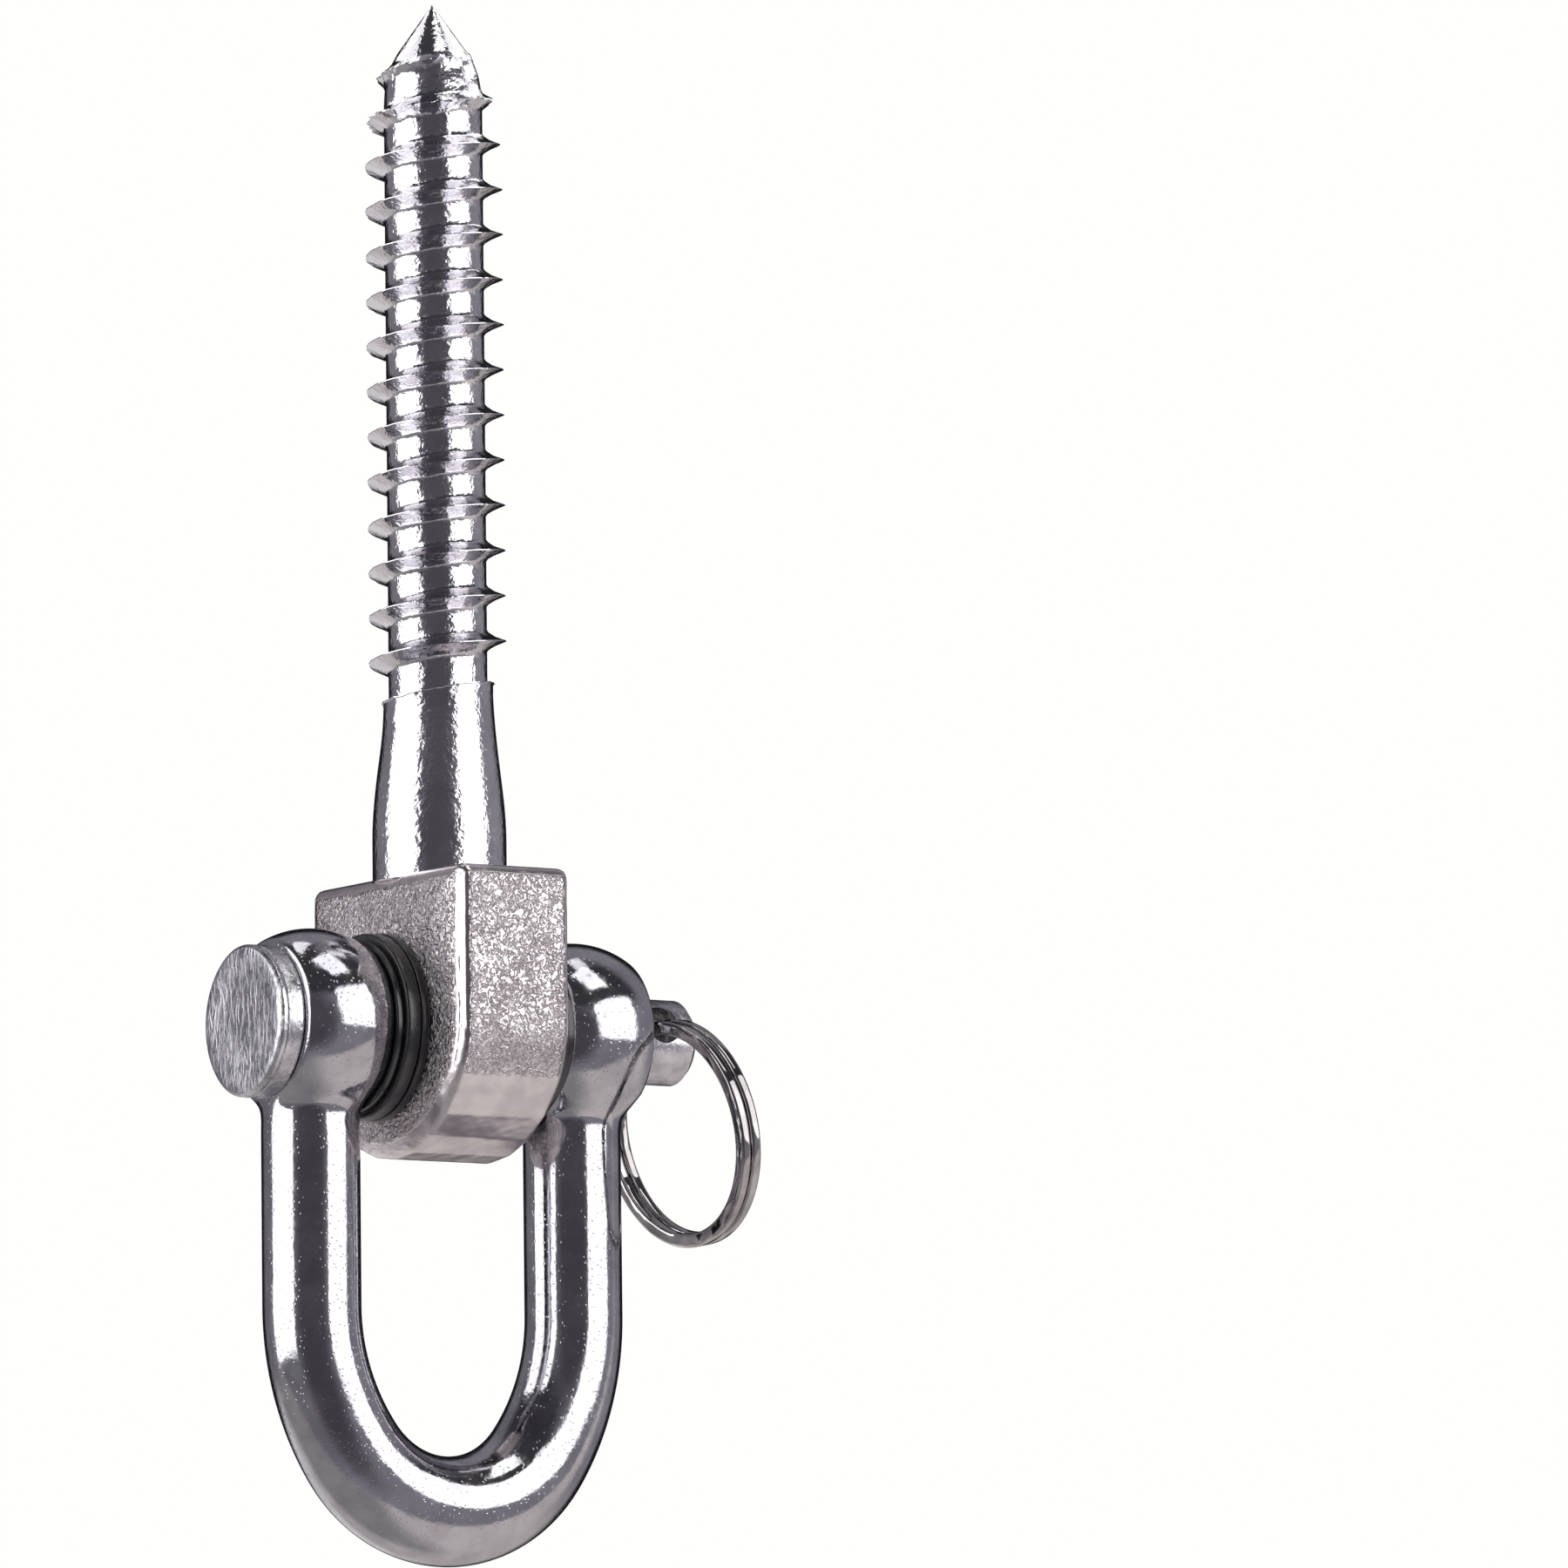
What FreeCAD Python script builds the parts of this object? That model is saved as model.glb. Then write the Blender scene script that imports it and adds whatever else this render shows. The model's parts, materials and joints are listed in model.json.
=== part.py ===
"""Swing hanger: lag screw, pivot block and a D-shackle on a clevis pin with a split ring.

Millimetres. +Z runs up the screw, +X runs along the clevis pin from its head to its
split ring, and the origin is where the screw's axis meets the block's top face.
"""
import FreeCAD, Part
import math
import os

import Sketcher
from FreeCAD import Placement, Rotation, Vector

DRIVING = {
    # pivot block
    "block_width": 12.8,        # along the pin
    "block_depth": 27.2,        # across the pin
    "block_belly": 12.1,        # pin axis to the lowest point of the block
    "belly_corner": 10.5,       # radius of the two lower corners
    "block_round": 1.2,         # round on the outer edges
    "pin_drop": 14.1,           # top face to the pin axis
    "block_bore": 11.0,         # bore for the bushes
    # lag screw
    "screw_length": 82.0,       # top face to the point
    "root_diameter": 9.15,
    "crest_diameter": 12.7,
    "thread_pitch": 4.2333,     # six turns to the inch
    "thread_base": 2.1,
    "thread_flat": 0.16,        # width of the thread's crest
    "thread_sink": 0.15,        # how far the thread's foot goes into the core
    "thread_start": 18.3,
    "thread_run": 50.8,
    "shank_diameter": 12.4,
    "neck_diameter": 10.2,
    "shank_straight": 3.6,
    "shank_top": 17.0,
    "neck_ledge": 0.6,          # height of the step from the neck to the core
    "point_length": 5.9,
    "nose_height": 7.4,
    "seat_depth": 0.4,          # the shank's foot is let into the block
    "seat_diameter": 12.5,
    "spigot_diameter": 9.0,
    "spigot_length": 7.4,
    # clevis pin
    "pin_diameter": 8.0,
    "head_diameter": 14.0,
    "head_thickness": 2.55,
    "head_chamfer": 0.3,
    "head_back_chamfer": 0.2,
    "head_play": 0.05,          # between the head and the ear
    "pin_end": 25.7,
    "end_chamfer": 0.6,
    "cross_hole": 3.7,
    "cross_hole_place": 22.0,
    "pin_angle": 21.0,          # how far the pin is turned at rest
    # shackle
    "leg_place": 14.1,
    "leg_diameter": 9.1,
    "bow_diameter": 10.2,
    "leg_length": 25.95,        # pin axis to the start of the bow
    "bow_depth": 18.4,          # along the wire's centre line
    "bow_side": 23.0,           # radius of each side of the bow
    "ear_radius": 8.8,
    "ear_half": 4.6,
    "ear_bore": 8.16,
    "ear_round": 0.7,
    # bushes, rings and washers on the pin
    "bush_bore": 8.1,
    "flange_diameter": 17.4,
    "flange_thickness": 0.8,
    "spacer_diameter": 17.2,
    "spacer_thickness": 1.55,
    "washer_diameter": 16.0,
    "washer_thickness": 0.7,
    "washer_bore": 8.5,
    "soft_round": 0.2,
    "bush_gap": 0.1,
    # split ring
    "ring_diameter": 21.3,
    "ring_wire": 1.31,          # across the wire, in the ring's plane
    "ring_stack": 2.26,         # both turns together
    "ring_slit": 0.07,
    "ring_angle": 12.0,         # how far the ring leans outwards at rest
    "ring_sag": 0.4,
}

# how much of the neck's narrowing is left at one and two thirds of its height
WAIST_SHARES = (0.36, 0.13)
# the core's radius where the point starts, as a share of its full radius
NOSE_SHARE = 0.94
# how near two places are to count as the same
CLOSE = 0.01


class Size:
    """A length that knows its value and the spreadsheet formula that gives it."""

    def __init__(self, value, text):
        self.value = value
        self.text = text

    def __add__(self, other):
        return Size(self.value + number(other), f"({self.text} + {formula(other)})")

    def __sub__(self, other):
        return Size(self.value - number(other), f"({self.text} - {formula(other)})")

    def __mul__(self, factor):
        return Size(self.value * factor, f"({self.text} * {factor})")

    def __truediv__(self, divisor):
        return Size(self.value / divisor, f"({self.text} / {divisor})")

    def __neg__(self):
        return Size(-self.value, f"(0 mm - {self.text})")


def number(size):
    """The plain value of a Size or of a number."""
    return size.value if isinstance(size, Size) else size


def formula(size):
    """The spreadsheet formula of a Size, or of a number of millimetres."""
    return size.text if isinstance(size, Size) else f"{size} mm"


def fill_sheet(document):
    """Write the driving dimensions to a spreadsheet and return them as Sizes by name."""
    sheet = document.addObject("Spreadsheet::Sheet", "Dimensions")
    for row, (name, value) in enumerate(DRIVING.items(), start=1):
        sheet.set(f"A{row}", name)
        sheet.set(f"B{row}", str(value))
        sheet.setAlias(f"B{row}", name)
    document.recompute()
    return {name: Size(sheet.get(name), f"Dimensions.{name} * 1 mm") for name in DRIVING}


def bind(feature, name, size):
    """Drive one property of a feature from the spreadsheet."""
    feature.setExpression(name, size.text)


def new_body(label):
    """An empty body that carries the node's name."""
    body = doc.addObject("PartDesign::Body", label)
    body.Label = label
    return body


def new_sketch(body, name, role):
    """A sketch on one of the body's own origin planes."""
    sketch = body.newObject("Sketcher::SketchObject", name)
    plane = next(item for item in body.Origin.OriginFeatures if item.Role == role)
    sketch.AttachmentSupport = [(plane, "")]
    sketch.MapMode = "FlatFace"
    return sketch


def hold(sketch, kind, first, second, size):
    """Add one dimension between two sketch points and drive it from the spreadsheet."""
    if size.value < 0:
        first, second, size = second, first, -size
    index = sketch.addConstraint(Sketcher.Constraint(kind, *first, *second, size.value))
    name = f"{kind.lower()}_{index}"
    sketch.renameConstraint(index, name)
    bind(sketch, f"Constraints.{name}", size)


def place_point(sketch, point, across, along):
    """Fix a sketch point at a place given by two Sizes, or by 0 for on the axis."""
    origin, h_axis, v_axis = (-1, 1), -1, -2
    for kind, size, axis in (("DistanceX", across, v_axis), ("DistanceY", along, h_axis)):
        if isinstance(size, Size):
            hold(sketch, kind, origin, point, size)
        else:
            sketch.addConstraint(Sketcher.Constraint("PointOnObject", *point, axis))


def add_circle(sketch, across, along, diameter):
    """A circle whose centre and diameter are driven."""
    centre = Vector(number(across), number(along), 0)
    circle = sketch.addGeometry(Part.Circle(centre, Vector(0, 0, 1), diameter.value / 2))
    index = sketch.addConstraint(Sketcher.Constraint("Diameter", circle, diameter.value))
    sketch.renameConstraint(index, f"diameter_{index}")
    bind(sketch, f"Constraints.diameter_{index}", diameter)
    if isinstance(across, Size) or isinstance(along, Size):
        place_point(sketch, (circle, 3), across, along)
    else:
        sketch.addConstraint(Sketcher.Constraint("Coincident", circle, 3, -1, 1))


def add_polygon(sketch, corners):
    """A closed outline of straight lines through driven corners."""
    points = [Vector(number(across), number(along), 0) for across, along in corners]
    lines = [sketch.addGeometry(Part.LineSegment(start, end))
             for start, end in zip(points, points[1:] + points[:1])]
    for line, following in zip(lines, lines[1:] + lines[:1]):
        sketch.addConstraint(Sketcher.Constraint("Coincident", line, 2, following, 1))
    for line, (across, along) in zip(lines, corners):
        place_point(sketch, (line, 1), across, along)


def add_radius(sketch, arc, radius):
    """Drive the radius of an arc."""
    index = sketch.addConstraint(Sketcher.Constraint("Radius", arc, radius.value))
    sketch.renameConstraint(index, f"radius_{index}")
    bind(sketch, f"Constraints.radius_{index}", radius)


def revolve(body, sketch, axis):
    """Turn a profile once round an axis of its sketch."""
    turned = body.newObject("PartDesign::Revolution", sketch.Name + "_turned")
    turned.Profile = sketch
    turned.ReferenceAxis = (sketch, [axis])
    turned.Angle = 360
    sketch.Visibility = False
    return turned


def symmetric(feature):
    """Make a pad or pocket grow the same way on both sides of its sketch."""
    if hasattr(feature, "SideType"):
        feature.SideType = "Symmetric"
    else:
        feature.Midplane = True
    return feature


def pocket_through(body, sketch, name):
    """Cut a sketch right through the body, both ways."""
    cut = body.newObject("PartDesign::Pocket", name)
    cut.Profile = sketch
    cut.Type = "ThroughAll"
    return symmetric(cut)


def edges_where(feature, test):
    """Names of the feature's edges that pass a test."""
    return [f"Edge{i}" for i, edge in enumerate(feature.Shape.Edges, start=1) if test(edge)]


def round_edges(body, base, name, radius, test):
    """Fillet the edges of the last feature that pass a test."""
    doc.recompute()
    fillet = body.newObject("PartDesign::Fillet", name)
    fillet.Base = (base, edges_where(base, test))
    bind(fillet, "Radius", radius)
    return fillet


def turned_piece(label, name, corners):
    """A body turned about the pin axis from a polygon of (along pin, radius) corners."""
    body = new_body(label)
    sketch = new_sketch(body, name, "XZ_Plane")
    add_polygon(sketch, corners)
    revolve(body, sketch, "H_Axis")
    bind(body, "Placement.Base.z", -size["pin_drop"])
    return body


def is_circle(edge, diameter):
    """Whether an edge is round and has the given diameter."""
    curve = edge.Curve
    return isinstance(curve, Part.Circle) and abs(2 * curve.Radius - diameter) < CLOSE


def make_block():
    """Cast block: flat top and sides, rounded belly, pin bore and a socket for the screw."""
    body = new_body("hanger_block")
    outline = new_sketch(body, "block_outline", "YZ_Plane")
    half, drop = size["block_depth"] / 2, size["pin_drop"]
    low = drop + size["block_belly"]
    reach, fall = half.value, drop.value
    corner = size["belly_corner"].value
    rise = size["block_belly"].value
    belly = (reach**2 + rise**2 - 2 * reach * corner) / (2 * (rise - corner))
    lean = math.atan2(reach - corner, belly - rise)
    ends = {side: Vector(side * belly * math.sin(lean), -fall - rise + belly
                         - belly * math.cos(lean), 0) for side in (-1, 1)}
    top = outline.addGeometry(Part.LineSegment(Vector(-reach, 0, 0), Vector(reach, 0, 0)))
    right = outline.addGeometry(Part.LineSegment(Vector(reach, 0, 0), Vector(reach, -fall, 0)))
    left = outline.addGeometry(Part.LineSegment(Vector(-reach, -fall, 0), Vector(-reach, 0, 0)))
    upright = Vector(0, 0, 1)
    right_circle = Part.Circle(Vector(reach - corner, -fall, 0), upright, corner)
    left_circle = Part.Circle(Vector(corner - reach, -fall, 0), upright, corner)
    belly_circle = Part.Circle(Vector(0, -fall - rise + belly, 0), upright, belly)
    right_arc = outline.addGeometry(
        Part.ArcOfCircle(right_circle, right_circle.parameter(ends[1]), 2 * math.pi))
    left_arc = outline.addGeometry(
        Part.ArcOfCircle(left_circle, math.pi, left_circle.parameter(ends[-1])))
    belly_arc = outline.addGeometry(
        Part.ArcOfCircle(belly_circle, belly_circle.parameter(ends[-1]),
                         belly_circle.parameter(ends[1])))
    for rule in (("Coincident", top, 2, right, 1), ("Coincident", left, 2, top, 1),
                 ("Tangent", right, 2, right_arc, 2), ("Tangent", left, 1, left_arc, 1),
                 ("Tangent", left_arc, 2, belly_arc, 1), ("Tangent", belly_arc, 2, right_arc, 1),
                 ("PointOnObject", belly_arc, 3, -2), ("Vertical", right), ("Vertical", left),
                 ("Equal", left_arc, right_arc)):
        outline.addConstraint(Sketcher.Constraint(*rule))
    place_point(outline, (top, 1), -half, 0)
    place_point(outline, (top, 2), half, 0)
    hold(outline, "DistanceY", (-1, 1), (right_arc, 3), -drop)
    add_radius(outline, right_arc, size["belly_corner"])
    # the belly arc reaches its lowest point on the middle line
    lowest = outline.addGeometry(Part.Point(Vector(0, -fall - rise, 0)), True)
    outline.addConstraint(Sketcher.Constraint("PointOnObject", lowest, 1, belly_arc))
    place_point(outline, (lowest, 1), 0, -low)
    pad = body.newObject("PartDesign::Pad", "block_pad")
    pad.Profile = outline
    bind(symmetric(pad), "Length", size["block_width"])

    bore = new_sketch(body, "bore_circle", "YZ_Plane")
    add_circle(bore, 0, -drop, size["block_bore"])
    pocket_through(body, bore, "bore_cut")

    socket = new_sketch(body, "socket_circle", "XY_Plane")
    add_circle(socket, 0, 0, size["spigot_diameter"])
    socket_cut = body.newObject("PartDesign::Pocket", "socket_cut")
    socket_cut.Profile = socket
    bind(socket_cut, "Length", size["spigot_length"])

    bore_size, socket_size = size["block_bore"].value, size["spigot_diameter"].value
    inside = reach - CLOSE

    def is_outer(edge):
        if is_circle(edge, bore_size) or is_circle(edge, socket_size):
            return False
        flat_side = edge.BoundBox.XLength < CLOSE
        top_edge = edge.BoundBox.ZMin > -CLOSE and abs(edge.CenterOfMass.y) > inside
        return flat_side and edge.CenterOfMass.x**2 > 1 or top_edge

    round_edges(body, socket_cut, "block_rounds", size["block_round"], is_outer)
    seat = new_sketch(body, "seat_circle", "XY_Plane")
    add_circle(seat, 0, 0, size["seat_diameter"])
    seat_cut = body.newObject("PartDesign::Pocket", "seat_cut")
    seat_cut.Profile = seat
    bind(seat_cut, "Length", size["seat_depth"])
    return body


def make_screw():
    """Lag screw: a spigot in the block, a waisted shank, a wood thread and a gimlet point."""
    body = new_body("lag_screw")
    profile = new_sketch(body, "screw_profile", "XZ_Plane")
    shank, root = size["shank_diameter"] / 2, size["root_diameter"] / 2
    neck, spigot = size["neck_diameter"] / 2, size["spigot_diameter"] / 2
    straight, shoulder, foot = size["shank_straight"], size["shank_top"], -size["seat_depth"]
    length, nose = size["screw_length"], size["screw_length"] - size["nose_height"]
    waist = (shoulder - straight) / 3
    point = length - size["point_length"]
    corners = [
        (0, -size["spigot_length"]), (spigot, -size["spigot_length"]), (spigot, foot),
        (shank, foot), (shank, straight),
        (shank - (shank - neck) * WAIST_SHARES[0], straight + waist),
        (neck + (shank - neck) * WAIST_SHARES[1], shoulder - waist), (neck, shoulder),
        (root, shoulder + size["neck_ledge"]), (root, nose), (root * NOSE_SHARE, point),
        (0, length),
    ]
    add_polygon(profile, corners)
    revolve(body, profile, "V_Axis")

    tooth = new_sketch(body, "thread_tooth", "XZ_Plane")
    sunk = root - size["thread_sink"]
    half_base, half_flat = size["thread_base"] / 2, size["thread_flat"] / 2
    start, crest = size["thread_start"], size["crest_diameter"] / 2
    add_polygon(tooth, [(sunk, start - half_base), (crest, start - half_flat),
                        (crest, start + half_flat), (sunk, start + half_base)])
    thread = body.newObject("PartDesign::AdditiveHelix", "thread")
    thread.Profile = tooth
    thread.ReferenceAxis = (tooth, ["V_Axis"])
    thread.Mode = "pitch-height-angle"
    bind(thread, "Pitch", size["thread_pitch"])
    bind(thread, "Height", size["thread_run"])
    thread.LeftHanded = False
    return body


def make_shackle():
    """D-shackle: round legs and bow, with ball-shaped ears that are flat on both sides."""
    body = new_body("shackle")
    bind(body, "Placement.Base.z", -size["pin_drop"])
    place, depth, leg_length = size["leg_place"], size["bow_depth"], size["leg_length"]

    leg_circle = new_sketch(body, "leg_circle", "XY_Plane")
    add_circle(leg_circle, place, 0, size["leg_diameter"])
    leg = body.newObject("PartDesign::Pad", "leg")
    leg.Profile = leg_circle
    leg.Reversed = True
    bind(leg, "Length", leg_length)

    # a quarter of the bow: the side arc runs down from the leg into the bottom arc
    path = new_sketch(body, "bow_path", "XZ_Plane")
    side, reach, drop = size["bow_side"].value, place.value, depth.value
    bottom = (2 * reach * side - reach**2 - drop**2) / (2 * (side - drop))
    lean = math.atan2(drop - bottom, side - reach)
    side_centre = Vector(reach - side, -leg_length.value, 0)
    bottom_centre = Vector(0, -leg_length.value - drop + bottom, 0)
    upright = Vector(0, 0, 1)
    side_arc = path.addGeometry(Part.ArcOfCircle(
        Part.Circle(side_centre, upright, side), 2 * math.pi - lean, 2 * math.pi))
    bottom_arc = path.addGeometry(Part.ArcOfCircle(
        Part.Circle(bottom_centre, upright, bottom), 1.5 * math.pi, 2 * math.pi - lean))
    path.addConstraint(Sketcher.Constraint("Tangent", side_arc, 1, bottom_arc, 2))
    path.addConstraint(Sketcher.Constraint("PointOnObject", bottom_arc, 3, -2))
    add_radius(path, side_arc, size["bow_side"])
    place_point(path, (side_arc, 2), place, -leg_length)
    place_point(path, (bottom_arc, 1), 0, -(leg_length + depth))
    hold(path, "DistanceY", (-1, 1), (side_arc, 3), -leg_length)

    start = new_sketch(body, "bow_start", "XY_Plane")
    bind(start, "AttachmentOffset.Base.z", -leg_length)
    add_circle(start, place, 0, size["leg_diameter"])
    finish = new_sketch(body, "bow_finish", "YZ_Plane")
    add_circle(finish, 0, -(leg_length + depth), size["bow_diameter"])
    doc.recompute()
    bow = body.newObject("PartDesign::AdditivePipe", "bow")
    bow.Profile = start
    bow.Spine = (path, ["Edge1", "Edge2"])
    bow.Sections = [(finish, [""])]
    bow.Transformation = "Multisection"
    bow.Mode = "Frenet"

    ear_profile = new_sketch(body, "ear_profile", "XZ_Plane")
    half, radius = size["ear_half"], size["ear_radius"]
    flat = math.sqrt(radius.value**2 - half.value**2)
    near, far = reach - half.value, reach + half.value
    corners = [Vector(far, flat, 0), Vector(far, 0, 0), Vector(near, 0, 0), Vector(near, flat, 0)]
    lines = [ear_profile.addGeometry(Part.LineSegment(*pair)) for pair in zip(corners, corners[1:])]
    ball = Part.Circle(Vector(reach, 0, 0), upright, radius.value)
    dome = ear_profile.addGeometry(
        Part.ArcOfCircle(ball, ball.parameter(corners[0]), ball.parameter(corners[3])))
    for rule in (("Coincident", lines[0], 2, lines[1], 1), ("Coincident", lines[1], 2, lines[2], 1),
                 ("Coincident", lines[2], 2, dome, 2), ("Coincident", dome, 1, lines[0], 1),
                 ("Vertical", lines[0]), ("Vertical", lines[2])):
        ear_profile.addConstraint(Sketcher.Constraint(*rule))
    add_radius(ear_profile, dome, radius)
    place_point(ear_profile, (dome, 3), place, 0)
    place_point(ear_profile, (lines[0], 2), place + half, 0)
    place_point(ear_profile, (lines[2], 1), place - half, 0)
    ear = revolve(body, ear_profile, "H_Axis")

    other_side = body.newObject("PartDesign::Mirrored", "other_side")
    other_side.Originals = [leg, bow, ear]
    middle = next(item for item in body.Origin.OriginFeatures if item.Role == "YZ_Plane")
    other_side.MirrorPlane = (middle, [""])
    body.Tip = other_side

    bore = new_sketch(body, "ear_bores", "YZ_Plane")
    add_circle(bore, 0, 0, size["ear_bore"])
    bored = pocket_through(body, bore, "ear_bore_cut")

    def is_ear_rim(edge):
        return is_circle(edge, 2 * flat)

    round_edges(body, bored, "ear_rounds", size["ear_round"], is_ear_rim)
    return body


def make_pin():
    """Clevis pin: a flat head, a plain shank and a cross hole for the split ring."""
    body = new_body("clevis_pin")
    profile = new_sketch(body, "pin_profile", "XZ_Plane")
    radius, head = size["pin_diameter"] / 2, size["head_diameter"] / 2
    under_head = -(size["leg_place"] + size["ear_half"] + size["head_play"])
    face = under_head - size["head_thickness"]
    chamfer, end, tip = size["head_chamfer"], size["pin_end"], size["end_chamfer"]
    back = size["head_back_chamfer"]
    add_polygon(profile, [
        (face, 0), (face, head - chamfer), (face + chamfer, head), (under_head - back, head),
        (under_head, head - back), (under_head, radius), (end - tip, radius),
        (end, radius - tip), (end, 0)])
    revolve(body, profile, "H_Axis")
    hole = new_sketch(body, "cross_hole_circle", "XZ_Plane")
    add_circle(hole, size["cross_hole_place"], 0, size["cross_hole"])
    pocket_through(body, hole, "cross_hole_cut")
    turn = Rotation(Vector(1, 0, 0), -size["pin_angle"].value)
    body.Placement = Placement(Vector(0, 0, 0), turn)
    bind(body, "Placement.Base.z", -size["pin_drop"])
    return body


def make_split_ring():
    """Split ring: two turns of flat wire, threaded through the pin's cross hole."""
    body = new_body("split_ring")
    section = new_sketch(body, "wire_section", "XZ_Plane")
    outer, stack = size["ring_diameter"] / 2, size["ring_stack"]
    slit = size["ring_slit"]
    inner, wire = outer - size["ring_wire"], (stack - slit) / 2
    pitch = wire + slit
    # two whole turns of the wire are one pitch taller than the closed stack
    low = -(pitch * 2 + wire) / 2
    add_polygon(section, [(inner, low), (outer, low), (outer, low + wire), (inner, low + wire)])
    coil = body.newObject("PartDesign::AdditiveHelix", "coil")
    coil.Profile = section
    coil.ReferenceAxis = (section, ["V_Axis"])
    coil.Mode = "pitch-turns-angle"
    bind(coil, "Pitch", pitch)
    coil.Turns = 2
    pin_turn, lean = (math.radians(size[name].value) for name in ("pin_angle", "ring_angle"))
    down = Vector(0, -math.sin(pin_turn), -math.cos(pin_turn))
    along = Vector(1, 0, 0)
    hang = along * math.sin(lean) + down * math.cos(lean)
    normal = along * math.cos(lean) - down * math.sin(lean)
    hole = Vector(size["cross_hole_place"].value, 0, -size["pin_drop"].value)
    middle = (outer + inner).value / 2 - size["ring_sag"].value
    body.Placement = Placement(hole + hang * middle,
                               Rotation(hang, normal.cross(hang), normal, "ZXY"))
    return body


def make_rings():
    """The bush, spacer ring and washer on each side of the block."""
    inner, outer = size["bush_bore"] / 2, size["block_bore"] / 2
    flange, spacer = size["flange_diameter"] / 2, size["spacer_diameter"] / 2
    washer, hole = size["washer_diameter"] / 2, size["washer_bore"] / 2
    nip = size["soft_round"]
    face = size["block_width"] / 2
    flange_end = face + size["flange_thickness"]
    spacer_end = flange_end + size["spacer_thickness"]
    washer_end = size["leg_place"] - size["ear_half"]
    washer_start = washer_end - size["washer_thickness"]
    gap = size["bush_gap"] / 2
    bodies = []
    for side, name in ((-1, "left"), (1, "right")):
        profiles = {
            "flanged_bush": [(gap, inner), (flange_end, inner), (flange_end, flange - nip),
                             (flange_end - nip, flange), (face, flange), (face, outer),
                             (gap, outer)],
            "spacer_ring": [(flange_end, hole), (spacer_end, hole), (spacer_end, spacer - nip),
                            (spacer_end - nip, spacer), (flange_end + nip, spacer),
                            (flange_end, spacer - nip)],
            "ear_washer": [(washer_start, hole), (washer_end, hole), (washer_end, washer - nip),
                           (washer_end - nip, washer), (washer_start, washer)],
        }
        for piece, corners in profiles.items():
            sided = [(along * side, radius) for along, radius in corners]
            bodies.append(turned_piece(f"{piece}_{name}", f"{piece}_{name}_profile", sided))
    return bodies


def report_state(bodies):
    """Stop if any feature failed or any piece is empty, open or in more than one solid."""
    doc.recompute()
    failed = [item.Name for item in doc.Objects
              if "Invalid" in item.State or "Error" in item.State]
    if failed:
        raise RuntimeError(f"features failed: {failed}")
    for body in bodies:
        shape = body.Shape
        if shape.isNull() or not shape.isValid() or len(shape.Solids) != 1:
            raise RuntimeError(f"{body.Label}: null, invalid or not one solid")
        box = shape.BoundBox
        print(f"{body.Label:20s} volume {shape.Volume:9.1f}  x {box.XMin:7.2f} {box.XMax:7.2f}"
              f"  y {box.YMin:7.2f} {box.YMax:7.2f}  z {box.ZMin:7.2f} {box.ZMax:7.2f}")


doc = FreeCAD.newDocument("swing_hanger")
size = fill_sheet(doc)
pieces = [make_block(), make_screw(), make_shackle(), make_pin(), make_split_ring(),
          *make_rings()]
report_state(pieces)
os.makedirs("parts", exist_ok=True)
for piece in pieces:
    piece.Shape.exportStep(f"parts/{piece.Label}.step")
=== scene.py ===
"""Looks and studio for a swing hanger: lag screw, cast block, D-shackle, clevis pin and split ring.

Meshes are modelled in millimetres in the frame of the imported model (+Z up the screw, +X along
the clevis pin towards its split ring) and scaled to metres as each piece is finished.
"""

import json
import logging
import math
from collections.abc import Callable, Sequence
from dataclasses import dataclass, field
from enum import Enum

import bmesh
import bpy
from mathutils import Matrix, Vector, noise


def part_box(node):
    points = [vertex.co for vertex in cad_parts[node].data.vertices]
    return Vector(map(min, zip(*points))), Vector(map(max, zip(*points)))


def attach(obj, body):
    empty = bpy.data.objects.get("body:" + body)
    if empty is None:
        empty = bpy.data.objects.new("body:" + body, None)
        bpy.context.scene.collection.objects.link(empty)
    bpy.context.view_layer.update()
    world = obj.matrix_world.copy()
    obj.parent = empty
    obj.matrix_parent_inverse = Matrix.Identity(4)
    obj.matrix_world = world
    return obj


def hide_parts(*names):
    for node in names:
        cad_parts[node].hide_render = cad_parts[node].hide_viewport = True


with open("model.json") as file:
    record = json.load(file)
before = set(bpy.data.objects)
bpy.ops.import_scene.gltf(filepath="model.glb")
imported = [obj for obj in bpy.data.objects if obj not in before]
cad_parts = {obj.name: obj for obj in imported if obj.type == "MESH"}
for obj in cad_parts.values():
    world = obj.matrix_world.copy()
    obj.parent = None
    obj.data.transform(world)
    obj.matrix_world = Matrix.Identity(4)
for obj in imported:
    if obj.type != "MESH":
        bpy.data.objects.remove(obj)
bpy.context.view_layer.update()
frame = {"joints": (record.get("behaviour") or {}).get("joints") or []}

MM = 0.001
WELD = 1e-5                         # points nearer than this are one point, in mm
CUTTER_FACETS = 64
LOG = logging.getLogger("swing_hanger")
Triple = tuple[float, float, float]
Colour = Triple
Outline = Sequence[tuple[float, float]]


class Body(Enum):
    """The bodies of the frame that a piece can ride on."""

    HANGER = "hanger"
    SHACKLE = "shackle"
    PIN = "pin"
    RING = "ring"


class Side(Enum):
    """Which side of the block a ring or washer sits on."""

    LEFT = -1
    RIGHT = 1


class Skin(Enum):
    """How a metal surface was left by its last operation."""

    POLISHED = "polished"
    PEBBLED = "pebbled"
    TUMBLED = "tumbled"


class Operation(Enum):
    """What happens to a tool: it is joined to the piece or cut away from it."""

    JOIN = "UNION"
    CUT = "DIFFERENCE"


# ---------------------------------------------------------------- shared helpers


def smooth_step(value: float) -> float:
    """Ease a value from 0 to 1, held at both ends."""
    held = min(max(value, 0.0), 1.0)
    return held * held * (3.0 - 2.0 * held)


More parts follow.
